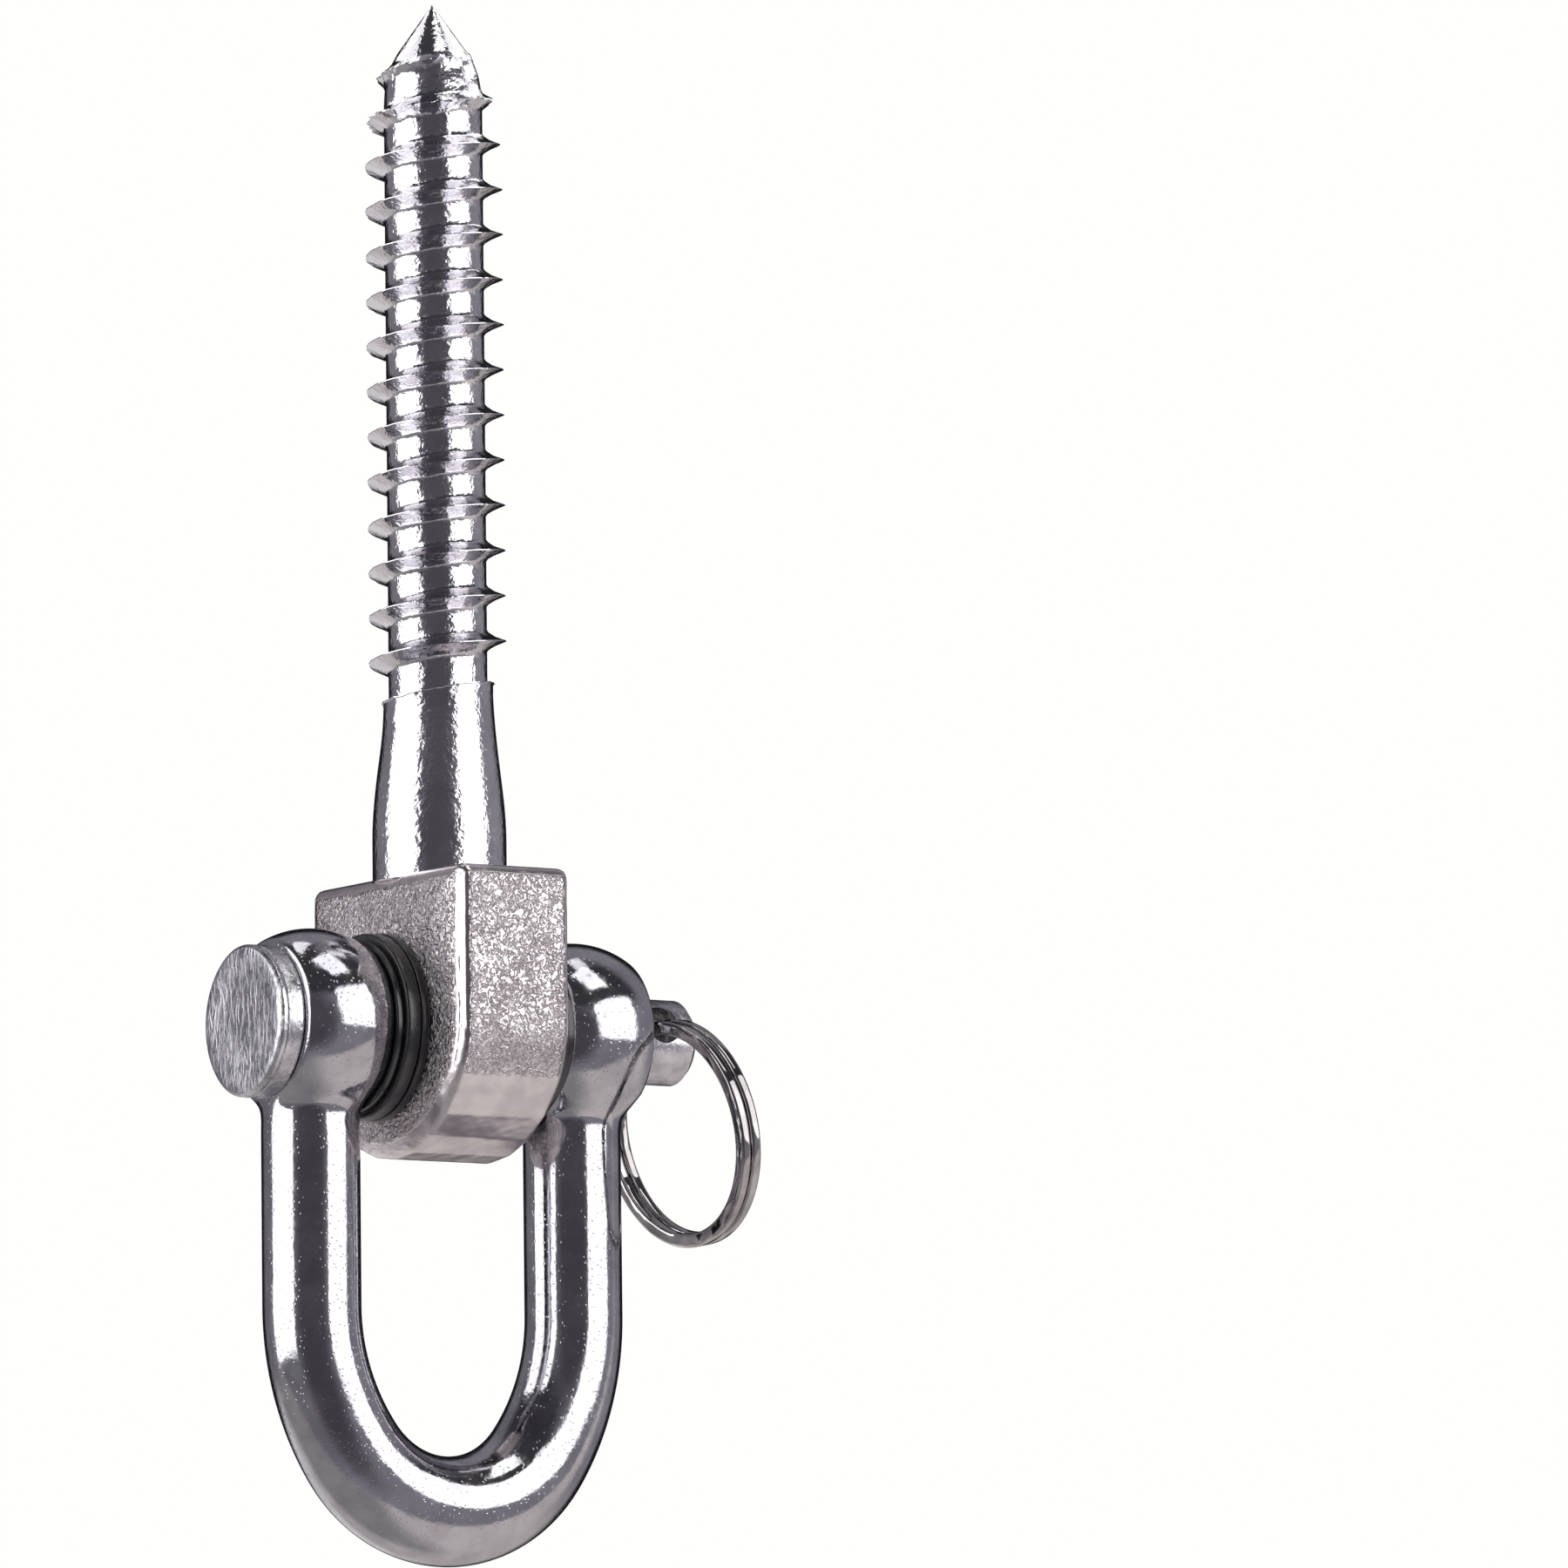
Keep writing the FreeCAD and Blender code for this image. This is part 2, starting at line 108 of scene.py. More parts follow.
def between(stations: Outline, place: float) -> float:
    """Read a value off a row of stations, straight from each to the next.

    Args:
        stations: Pairs of a place and its value, in rising order of place.
        place: Where to read.

    Returns:
        The value there, or the last station's value past the last one.
    """
    for (near, first), (far, second) in zip(stations, stations[1:]):
        if place <= far:
            return first + (second - first) * (place - near) / (far - near)
    return stations[-1][1]


@dataclass(frozen=True)
class Wander:
    """Unevenness that is the same at each run: 1 / scale millimetres wide, reach high."""

    scale: float
    reach: float
    shift: Triple = (0.0, 0.0, 0.0)

    def at(self, place: Vector) -> float:
        """How far the surface wanders at a place."""
        return self.reach * noise.noise(place * self.scale + Vector(self.shift))


def joint_named(name: str) -> dict:
    """The frame's joint of that name."""
    return next(joint for joint in frame["joints"] if joint["name"] == name)


def joint_place(name: str) -> Vector:
    """A joint's place in millimetres."""
    return Vector(joint_named(name)["pos_m"]) / MM


def node_box(node: str) -> tuple[Vector, Vector]:
    """A node's lowest and highest corners in millimetres."""
    low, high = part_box(node)
    return Vector(low) / MM, Vector(high) / MM


def arc_points(centre: tuple[float, float], radius: float, start: float, end: float,
               steps: int) -> list[tuple[float, float]]:
    """Points along a round stretch of an outline.

    Args:
        centre: The arc's centre.
        radius: The arc's radius.
        start: The first angle, in degrees.
        end: The last angle, in degrees.
        steps: How many chords the arc is cut into.

    Returns:
        The points, both ends included.
    """
    angles = [math.radians(start + (end - start) * step / steps) for step in range(steps + 1)]
    return [(centre[0] + radius * math.cos(a), centre[1] + radius * math.sin(a)) for a in angles]


def turned(shape: bmesh.types.BMesh, outline: Outline, steps: int, closed: bool = False) -> None:
    """Turn an outline of (radius, height) points once round +Z, as on a lathe.

    Args:
        shape: The mesh that receives the turned surface.
        outline: The profile, whose ends lie on the axis unless it is closed.
        steps: How many facets go round.
        closed: Whether the last point joins the first, as in a ring.
    """
    points = [shape.verts.new((radius, 0.0, height)) for radius, height in outline]
    pairs = list(zip(points, points[1:]))
    if closed:
        pairs.append((points[-1], points[0]))
    edges = [shape.edges.new(pair) for pair in pairs]
    bmesh.ops.spin(shape, geom=points + edges, cent=(0, 0, 0), axis=(0, 0, 1), dvec=(0, 0, 0),
                   angle=math.tau, steps=steps, use_merge=True)
    bmesh.ops.remove_doubles(shape, verts=shape.verts, dist=WELD)
    bmesh.ops.recalc_face_normals(shape, faces=shape.faces)


def soften(shape: bmesh.types.BMesh, width: float, segments: int, angle: float = 30.0,
           where: Callable[[Vector], bool] = lambda place: True) -> None:
    """Bevel the edges that are sharper than an angle.

    Args:
        shape: The mesh to soften.
        width: How far the bevel reaches from the edge.
        segments: How many strips the round is made of.
        angle: The smallest angle between faces that counts as an edge, in degrees.
        where: Says for an edge's first end whether the edge is softened.
    """
    limit = math.radians(angle)
    sharp = [edge for edge in shape.edges if len(edge.link_faces) == 2
             and edge.calc_face_angle(0.0) > limit and where(edge.verts[0].co)]
    bmesh.ops.bevel(shape, geom=sharp, offset=width, segments=segments, profile=0.5,
                    affect="EDGES", material=-1, clamp_overlap=True)


def pin_lay(centre: Vector | Triple) -> Matrix:
    """The turn from +Z to the clevis pin's direction, and the shift to a place on its axis."""
    return Matrix.Translation(centre) @ Matrix.Rotation(math.radians(90.0), 4, "Y")


def along_pin(shape: bmesh.types.BMesh, centre: Vector) -> None:
    """Lay a shape that was turned about +Z along the clevis pin."""
    bmesh.ops.transform(shape, matrix=pin_lay(centre), verts=shape.verts)


def to_object(shape: bmesh.types.BMesh, name: str) -> bpy.types.Object:
    """Make an object from a mesh in millimetres and free the mesh.

    Args:
        shape: The finished shape.
        name: The object's name.

    Returns:
        The object, at the origin, still in millimetres.
    """
    data = bpy.data.meshes.new(name)
    shape.to_mesh(data)
    shape.free()
    piece = bpy.data.objects.new(name, data)
    bpy.context.scene.collection.objects.link(piece)
    return piece


def apply_modifiers(piece: bpy.types.Object) -> None:
    """Replace a piece's mesh with the result of its modifiers.

    Args:
        piece: The piece, which loses its modifiers.
    """
    graph = bpy.context.evaluated_depsgraph_get()
    result = bpy.data.meshes.new_from_object(piece.evaluated_get(graph), depsgraph=graph)
    piece.modifiers.clear()
    spent, piece.data = piece.data, result
    bpy.data.meshes.remove(spent)


def combine(piece: bpy.types.Object, tool: bpy.types.Object, operation: Operation) -> None:
    """Join a tool to a piece or cut it away, and delete the tool.

    Args:
        piece: The piece that is changed.
        tool: The closed shape that is joined or cut away.
        operation: Which of the two.
    """
    modifier = piece.modifiers.new(operation.name, "BOOLEAN")
    modifier.object = tool
    modifier.operation = operation.value
    modifier.solver = "MANIFOLD"
    apply_modifiers(piece)
    bpy.data.objects.remove(tool)


def add_smoothing(piece: bpy.types.Object, factor: float, rounds: int, group: str = "") -> None:
    """Add a smoothing modifier.

    Args:
        piece: The piece that is smoothed.
        factor: How far each round moves a point.
        rounds: How many rounds there are.
        group: The vertex group that it is limited to, if any.
    """
    ease = piece.modifiers.new("ease", "SMOOTH")
    ease.factor = factor
    ease.iterations = rounds
    ease.vertex_group = group


def remesh(piece: bpy.types.Object, voxel: float, rounds: int = 3, factor: float = 0.5) -> None:
    """Give a piece one even skin.

    Args:
        piece: The piece to remesh, in millimetres.
        voxel: The size of a facet.
        rounds: How many rounds of smoothing follow.
        factor: How far each round moves a point.
    """
    skin = piece.modifiers.new("skin", "REMESH")
    skin.mode = "VOXEL"
    skin.voxel_size = voxel
    add_smoothing(piece, factor, rounds)
    apply_modifiers(piece)


def cylinder_tool(radius: float, length: float, place: Matrix, flare: float = 0.0
                  ) -> bpy.types.Object:
    """A drill-shaped cutter about its own +Z.

    Args:
        radius: The hole's radius.
        length: The cutter's whole length.
        place: Where the cutter's middle goes.
        flare: How much wider both ends open over their last stretch.

    Returns:
        The cutter.
    """
    shape = bmesh.new()
    half = length / 2
    outline = [(0.0, -half), (radius, -half), (radius, half), (0.0, half)]
    if flare:
        outline[1:3] = [(radius + flare, -half), (radius, -half + flare),
                        (radius, half - flare), (radius + flare, half)]
    turned(shape, outline, CUTTER_FACETS)
    bmesh.ops.transform(shape, matrix=place, verts=shape.verts)
    return to_object(shape, "cutter")


# ---------------------------------------------------------------- finishes


@dataclass(frozen=True)
class Cloud:
    """Soft patches: noise whose middle range, low to high, is spread out."""

    scale: float
    detail: float
    low: float = 0.3
    high: float = 0.7
    distortion: float = 0.0
    stretch: Triple = (1.0, 1.0, 1.0)


@dataclass(frozen=True)
class Relief:
    """One layer of unevenness in a surface: features per millimetre and depth in millimetres."""

    scale: float
    depth: float
    detail: float = 3.0


class NodeWriter:
    """A short way to write a tree of shader nodes."""

    def __init__(self, tree: bpy.types.NodeTree, coordinate: str) -> None:
        """Start writing in a tree.

        Args:
            tree: The tree of a material or a world.
            coordinate: The texture coordinate that its patterns read.
        """
        self.nodes = tree.nodes
        self.links = tree.links
        self.place = self.nodes.new("ShaderNodeTexCoord").outputs[coordinate]

    def scaled(self, vector: bpy.types.NodeSocket, scale: Triple) -> bpy.types.NodeSocket:
        """Stretch texture coordinates.

        Args:
            vector: The coordinates.
            scale: The factor along each axis.

        Returns:
            The stretched coordinates.
        """
        mapping = self.nodes.new("ShaderNodeMapping")
        mapping.inputs["Scale"].default_value = scale
        self.links.new(vector, mapping.inputs["Vector"])
        return mapping.outputs["Vector"]

    def vector_math(self, operation: str, vector: bpy.types.NodeSocket,
                    other: Vector | None = None) -> bpy.types.Node:
        """Work on a vector.

        Args:
            operation: What is done, such as LENGTH or DOT_PRODUCT.
            vector: The vector.
            other: The fixed second vector, where the operation has one.

        Returns:
            The node, whose outputs are Vector and Value.
        """
        node = self.nodes.new("ShaderNodeVectorMath")
        node.operation = operation
        if other is not None:
            node.inputs[1].default_value = other
        self.links.new(vector, node.inputs[0])
        return node

    def ramp(self, value: bpy.types.NodeSocket, low: float, high: float, start: float = 0.0,
             end: float = 1.0) -> bpy.types.NodeSocket:
        """Spread a value's range, eased and held at both ends.

        Args:
            value: The value to spread.
            low: The value that becomes start.
            high: The value that becomes end.
            start: The result at low.
            end: The result at high.

        Returns:
            The spread value.
        """
        node = self.nodes.new("ShaderNodeMapRange")
        node.interpolation_type = "SMOOTHSTEP"
        for name, number in (("From Min", low), ("From Max", high), ("To Min", start),
                             ("To Max", end)):
            node.inputs[name].default_value = number
        self.links.new(value, node.inputs["Value"])
        return node.outputs["Result"]

    def blend(self, factor: bpy.types.NodeSocket, first: bpy.types.NodeSocket | Colour,
              second: bpy.types.NodeSocket | Colour) -> bpy.types.NodeSocket:
        """Mix two colours.

        Args:
            factor: How much of the second there is, from 0 to 1.
            first: The first colour, fixed or from a socket.
            second: The second colour, fixed or from a socket.

        Returns:
            The mixed colour.
        """
        node = self.nodes.new("ShaderNodeMix")
        node.data_type = "RGBA"
        for name, colour in (("A", first), ("B", second)):
            if isinstance(colour, tuple):
                node.inputs[name].default_value = (*colour, 1.0)
            else:
                self.links.new(colour, node.inputs[name])
        self.links.new(factor, node.inputs["Factor"])
        return node.outputs["Result"]

    def times(self, first: bpy.types.NodeSocket, second: bpy.types.NodeSocket
              ) -> bpy.types.NodeSocket:
        """Multiply two values.

        Args:
            first: One value.
            second: The other value.

        Returns:
            The product.
        """
        node = self.nodes.new("ShaderNodeMath")
        node.operation = "MULTIPLY"
        self.links.new(first, node.inputs[0])
        self.links.new(second, node.inputs[1])
        return node.outputs["Value"]

    def add_share(self, base: bpy.types.NodeSocket, value: bpy.types.NodeSocket, share: float
                  ) -> bpy.types.NodeSocket:
        """Add a share of one value to another.

        Args:
            base: The value that is added to.
            value: The value that is added.
            share: How much of it is added.

        Returns:
            The sum.
        """
        node = self.nodes.new("ShaderNodeMath")
        node.operation = "MULTIPLY_ADD"
        self.links.new(value, node.inputs[0])
        node.inputs[1].default_value = share
        self.links.new(base, node.inputs[2])
        return node.outputs["Value"]


class ShaderGraph(NodeWriter):
    """The nodes of one material round its Principled shader."""

    def __init__(self, name: str) -> None:
        """Start a material.

        Args:
            name: The material's name.
        """
        self.material = bpy.data.materials.new(name)
        self.material.use_nodes = True
        super().__init__(self.material.node_tree, "Object")
        self.shader = self.nodes["Principled BSDF"]
        self.millimetres = self.scaled(self.place, (1 / MM, 1 / MM, 1 / MM))

    def noise(self, scale: float, detail: float, distortion: float = 0.0,
              stretch: Triple = (1.0, 1.0, 1.0)) -> bpy.types.NodeSocket:
        """Cloudy noise.

        Args:
            scale: Features per millimetre.
            detail: How many finer layers are added.
            distortion: How far the pattern is swirled.
            stretch: How the pattern is squeezed along each axis.

        Returns:
            The noise's value.
        """
        node = self.nodes.new("ShaderNodeTexNoise")
        node.inputs["Scale"].default_value = scale
        node.inputs["Detail"].default_value = detail
        node.inputs["Distortion"].default_value = distortion
        source = self.millimetres
        if stretch != (1.0, 1.0, 1.0):
            source = self.scaled(source, stretch)
        self.links.new(source, node.inputs["Vector"])
        return node.outputs["Fac"]

    def cloud(self, cloud: Cloud, start: float = 0.0, end: float = 1.0) -> bpy.types.NodeSocket:
        """Soft patches from a start value to an end value."""
        source = self.noise(cloud.scale, cloud.detail, cloud.distortion, cloud.stretch)
        return self.ramp(source, cloud.low, cloud.high, start, end)

    def holes(self, scale: float, floor: float = 0.1, rim: float = 0.26) -> bpy.types.NodeSocket:
        """Scattered small pits.

        Args:
            scale: Pits per millimetre.
            floor: The radius of a pit's floor, as a share of the pits' spacing.
            rim: The radius of its rim, likewise.

        Returns:
            The pits' relief, 0 on a floor and 1 between pits.
        """
        node = self.nodes.new("ShaderNodeTexVoronoi")
        node.inputs["Scale"].default_value = scale
        self.links.new(self.millimetres, node.inputs["Vector"])
        return self.ramp(node.outputs["Distance"], floor, rim)

    def fade_to(self, factor: bpy.types.NodeSocket, value: bpy.types.NodeSocket, end: float
                ) -> bpy.types.NodeSocket:
        """Go from a value to a fixed one.

        Args:
            factor: How far it has gone, from 0 to 1.
            value: The value at 0.
            end: The value at 1.

        Returns:
            The value between them.
        """
        node = self.nodes.new("ShaderNodeMix")
        node.inputs["B"].default_value = end
        self.links.new(value, node.inputs["A"])
        self.links.new(factor, node.inputs["Factor"])
        return node.outputs["Result"]

    def rings(self, centre: Vector, scale: float, detail: float = 3.0, waver: float = 3.5
              ) -> bpy.types.NodeSocket:
        """Wavering rings round a line along the pin, as a lathe or a polishing wheel leaves.

        Args:
            centre: A place on the line, in millimetres.
            scale: Rings per millimetre.
            detail: How many finer layers of rings are added.
            waver: How far a ring strays from a circle, in millimetres.

        Returns:
            The rings' value.
        """
        offset = self.vector_math("SUBTRACT", self.millimetres, centre).outputs["Vector"]
        flat = self.scaled(offset, (0.0, 1.0, 1.0))
        radius = self.vector_math("LENGTH", flat).outputs["Value"]
        strayed = self.add_share(radius, self.noise(scale=0.5, detail=3.0), waver)
        node = self.nodes.new("ShaderNodeTexNoise")
        node.noise_dimensions = "1D"
        node.inputs["Scale"].default_value = scale
        node.inputs["Detail"].default_value = detail
        self.links.new(strayed, node.inputs["W"])
        return node.outputs["Fac"]

    def attribute(self, name: str) -> bpy.types.NodeSocket:
        """A value stored on the piece's own mesh.

        Args:
            name: The attribute's name.

        Returns:
            The stored value.
        """
        node = self.nodes.new("ShaderNodeAttribute")
        node.attribute_name = name
        return node.outputs["Fac"]

    def bump(self, value: bpy.types.NodeSocket, depth: float,
             under: bpy.types.NodeSocket | None = None) -> bpy.types.NodeSocket:
        """Turn a value into relief.

        Args:
            value: The relief's height, from 0 to 1.
            depth: How deep the relief is, in millimetres.
            under: The normal of coarser relief below this one.

        Returns:
            The bent normal.
        """
        node = self.nodes.new("ShaderNodeBump")
        node.inputs["Distance"].default_value = depth * MM
        self.links.new(value, node.inputs["Height"])
        if under is not None:
            self.links.new(under, node.inputs["Normal"])
        return node.outputs["Normal"]

    def layer(self, relief: Relief, under: bpy.types.NodeSocket | None = None
              ) -> bpy.types.NodeSocket:
        """One layer of cloudy relief over the normal of coarser relief, if there is any."""
        return self.bump(self.noise(relief.scale, relief.detail), relief.depth, under)

    def feed(self, name: str, value: bpy.types.NodeSocket) -> None:
        """Connect a value to one of the shader's sockets."""
        self.links.new(value, self.shader.inputs[name])


@dataclass(frozen=True)
class MetalFinish:
    """A stainless or spring steel surface, named after the record's slot that it fills."""

    slot: str
    skin: Skin
    light: Colour
    dark: Colour
    smoothness: tuple[float, float]
    waves: Relief
    grain: Relief
    pits: Relief | None = None
    tone: Cloud = Cloud(0.35, 3.0)
    gloss: Cloud = Cloud(1.1, 4.0, 0.35)
    scuffs: Cloud = Cloud(1.0, 5.0, 0.4, 0.62, 1.2, (1.0, 1.6, 0.45))
    scuff_depth: float = 1.7
    lathe_rings: float = 1.7            # rings per millimetre
    rubbed_roughness: float = 0.25
    rubbed_bare: float = 0.6            # the wear at which none of the cast skin is left
    fine_scale: float = 3.0             # finer pebbles, as shares of the coarse ones
    fine_depth: float = 0.3

    def build(self) -> bpy.types.Material:
        """Make the material.

        Returns:
            The finished material.
        """
        graph = ShaderGraph(self.slot)
        graph.shader.inputs["Metallic"].default_value = 1.0
        graph.feed("Base Color", graph.blend(graph.cloud(self.tone), self.light, self.dark))
        rough = graph.cloud(self.gloss, *self.smoothness)
        normal = graph.layer(self.waves)
        if self.skin is Skin.PEBBLED:
            worn = graph.attribute("worn_edge")
            rough = graph.fade_to(worn, rough, self.rubbed_roughness)
            normal = self._pebbles(graph, normal, graph.ramp(worn, 0.0, self.rubbed_bare, 1.0, 0.0))
        elif self.skin is Skin.TUMBLED:
            rings = graph.rings(PIN_CENTRE, self.lathe_rings)
            normal = graph.bump(rings, self.grain.depth, normal)
            scuffs = graph.cloud(self.scuffs)
            normal = graph.bump(scuffs, self.grain.depth * self.scuff_depth, normal)
            normal = graph.layer(self.grain, normal)
        else:
            normal = graph.layer(self.grain, normal)
        if self.pits is not None:
            normal = graph.bump(graph.holes(self.pits.scale), self.pits.depth, normal)
        graph.feed("Roughness", rough)
        graph.feed("Normal", normal)
        return graph.material

    def _pebbles(self, graph: ShaderGraph, under: bpy.types.NodeSocket,
                 amount: bpy.types.NodeSocket) -> bpy.types.NodeSocket:
        """The cast skin: wrinkled pebbles, rubbed away along the block's edges.

        Args:
            graph: The material's nodes.
            under: The normal of coarser relief below the pebbles.
            amount: How much of the cast skin is left, from 0 to 1.

        Returns:
            The bent normal.
        """
        wrinkles = graph.cloud(Cloud(self.grain.scale, detail=2.0, low=0.36, high=0.6,
                                     distortion=0.9))
        normal = graph.bump(graph.times(wrinkles, amount), self.grain.depth, under)
        fine = graph.noise(self.grain.scale * self.fine_scale, detail=4.0)
        return graph.bump(graph.times(fine, amount), self.grain.depth * self.fine_depth, normal)


@dataclass(frozen=True)
class PolymerFinish:
    """A black nylon or rubber surface, named after the record's slot that it fills."""

    slot: str
    colour: Colour
    roughness: float
    grain: Relief
    dust: Cloud = Cloud(0.9, 5.0, 0.55, 0.8)
    dust_gain: float = 2.2              # dusty patches are this much paler, and a little more
    dust_lift: float = 0.01
    gloss: Cloud = Cloud(1.6, 4.0)
    gloss_spread: float = 0.2
    specular: float = 1.0

    def build(self) -> bpy.types.Material:
        """Make the material.

        Returns:
            The finished material.
        """
        graph = ShaderGraph(self.slot)
        graph.shader.inputs["Specular IOR Level"].default_value = self.specular
        pale = tuple(channel * self.dust_gain + self.dust_lift for channel in self.colour)
        graph.feed("Base Color", graph.blend(graph.cloud(self.dust), self.colour, pale))
        graph.feed("Roughness", graph.cloud(self.gloss,
                                            self.roughness * (1.0 - self.gloss_spread),
                                            self.roughness * (1.0 + self.gloss_spread)))
        graph.feed("Normal", graph.layer(self.grain))
        return graph.material


PIN_CENTRE = joint_place("pin_turn")
POLISHED_SCREW = MetalFinish(
    "polished_screw_steel", Skin.POLISHED, (0.82, 0.81, 0.83), (0.70, 0.68, 0.72), (0.06, 0.15),
    Relief(1.0, 0.06, 2.5), Relief(2.0, 0.032, 3.0), Relief(1.5, 0.008))
CAST_STEEL = MetalFinish(
    "cast_steel", Skin.PEBBLED, (0.92, 0.87, 0.88), (0.74, 0.68, 0.70), (0.2, 0.32),
    Relief(0.3, 0.05, 1.0), Relief(2.1, 0.155))
FORGED_STEEL = MetalFinish(
    "forged_steel", Skin.POLISHED, (0.66, 0.65, 0.68), (0.52, 0.51, 0.55), (0.06, 0.15),
    Relief(0.3, 0.035, 2.0), Relief(2.2, 0.008, 5.0), Relief(2.1, 0.012))
PIN_STEEL = MetalFinish(
    "pin_steel", Skin.TUMBLED, (0.86, 0.85, 0.88), (0.50, 0.49, 0.53), (0.2, 0.34),
    Relief(0.5, 0.03, 1.0), Relief(1.8, 0.014, 5.0))
RING_STEEL = MetalFinish(
    "ring_steel", Skin.POLISHED, (0.70, 0.67, 0.67), (0.42, 0.40, 0.40), (0.04, 0.1),
    Relief(0.28, 0.42, 1.0), Relief(3.0, 0.002))
BLACK_NYLON = PolymerFinish("black_nylon", (0.006, 0.006, 0.008), 0.2, Relief(2.0, 0.008, 4.0))
BLACK_RUBBER = PolymerFinish("black_rubber", (0.008, 0.008, 0.010), 0.3, Relief(1.6, 0.012, 4.0))


class FinishShelf:
    """Keeps each finish's material, so that pieces share it."""

    def __init__(self) -> None:
        """Start with no materials."""
        self._made: dict[str, bpy.types.Material] = {}

    def dress(self, piece: bpy.types.Object, finish: MetalFinish | PolymerFinish) -> None:
        """Give a piece its finish and name the record's slot.

        Args:
            piece: The finished piece.
            finish: The finish it wears.
        """
        if finish.slot not in self._made:
            self._made[finish.slot] = finish.build()
        piece.data.materials.clear()
        piece.data.materials.append(self._made[finish.slot])


@dataclass
class Bench:
    """Finishes every piece the same way and reports it."""

    shelf: FinishShelf = field(default_factory=FinishShelf)

    def deliver(self, piece: bpy.types.Object, node: str, body: Body,
                finish: MetalFinish | PolymerFinish, crease: float = 32.0) -> None:
        """Scale a piece to metres, shade it, dress it and hang it on its body.

        Args:
            piece: The piece, in millimetres.
            node: The node of the frame that it stands for.
            body: The body that it rides on.
            finish: The finish it wears.
            crease: The angle above which an edge stays crisp, in degrees.
        """
        piece.data.transform(Matrix.Scale(MM, 4))
        piece.data.shade_smooth()
        piece.data.set_sharp_from_angle(angle=math.radians(crease))
        self.shelf.dress(piece, finish)
        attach(piece, body.value)
        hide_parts(node)
        LOG.info("%s: %d faces, rides on %s", piece.name, len(piece.data.polygons), body.value)


# ---------------------------------------------------------------- lag screw


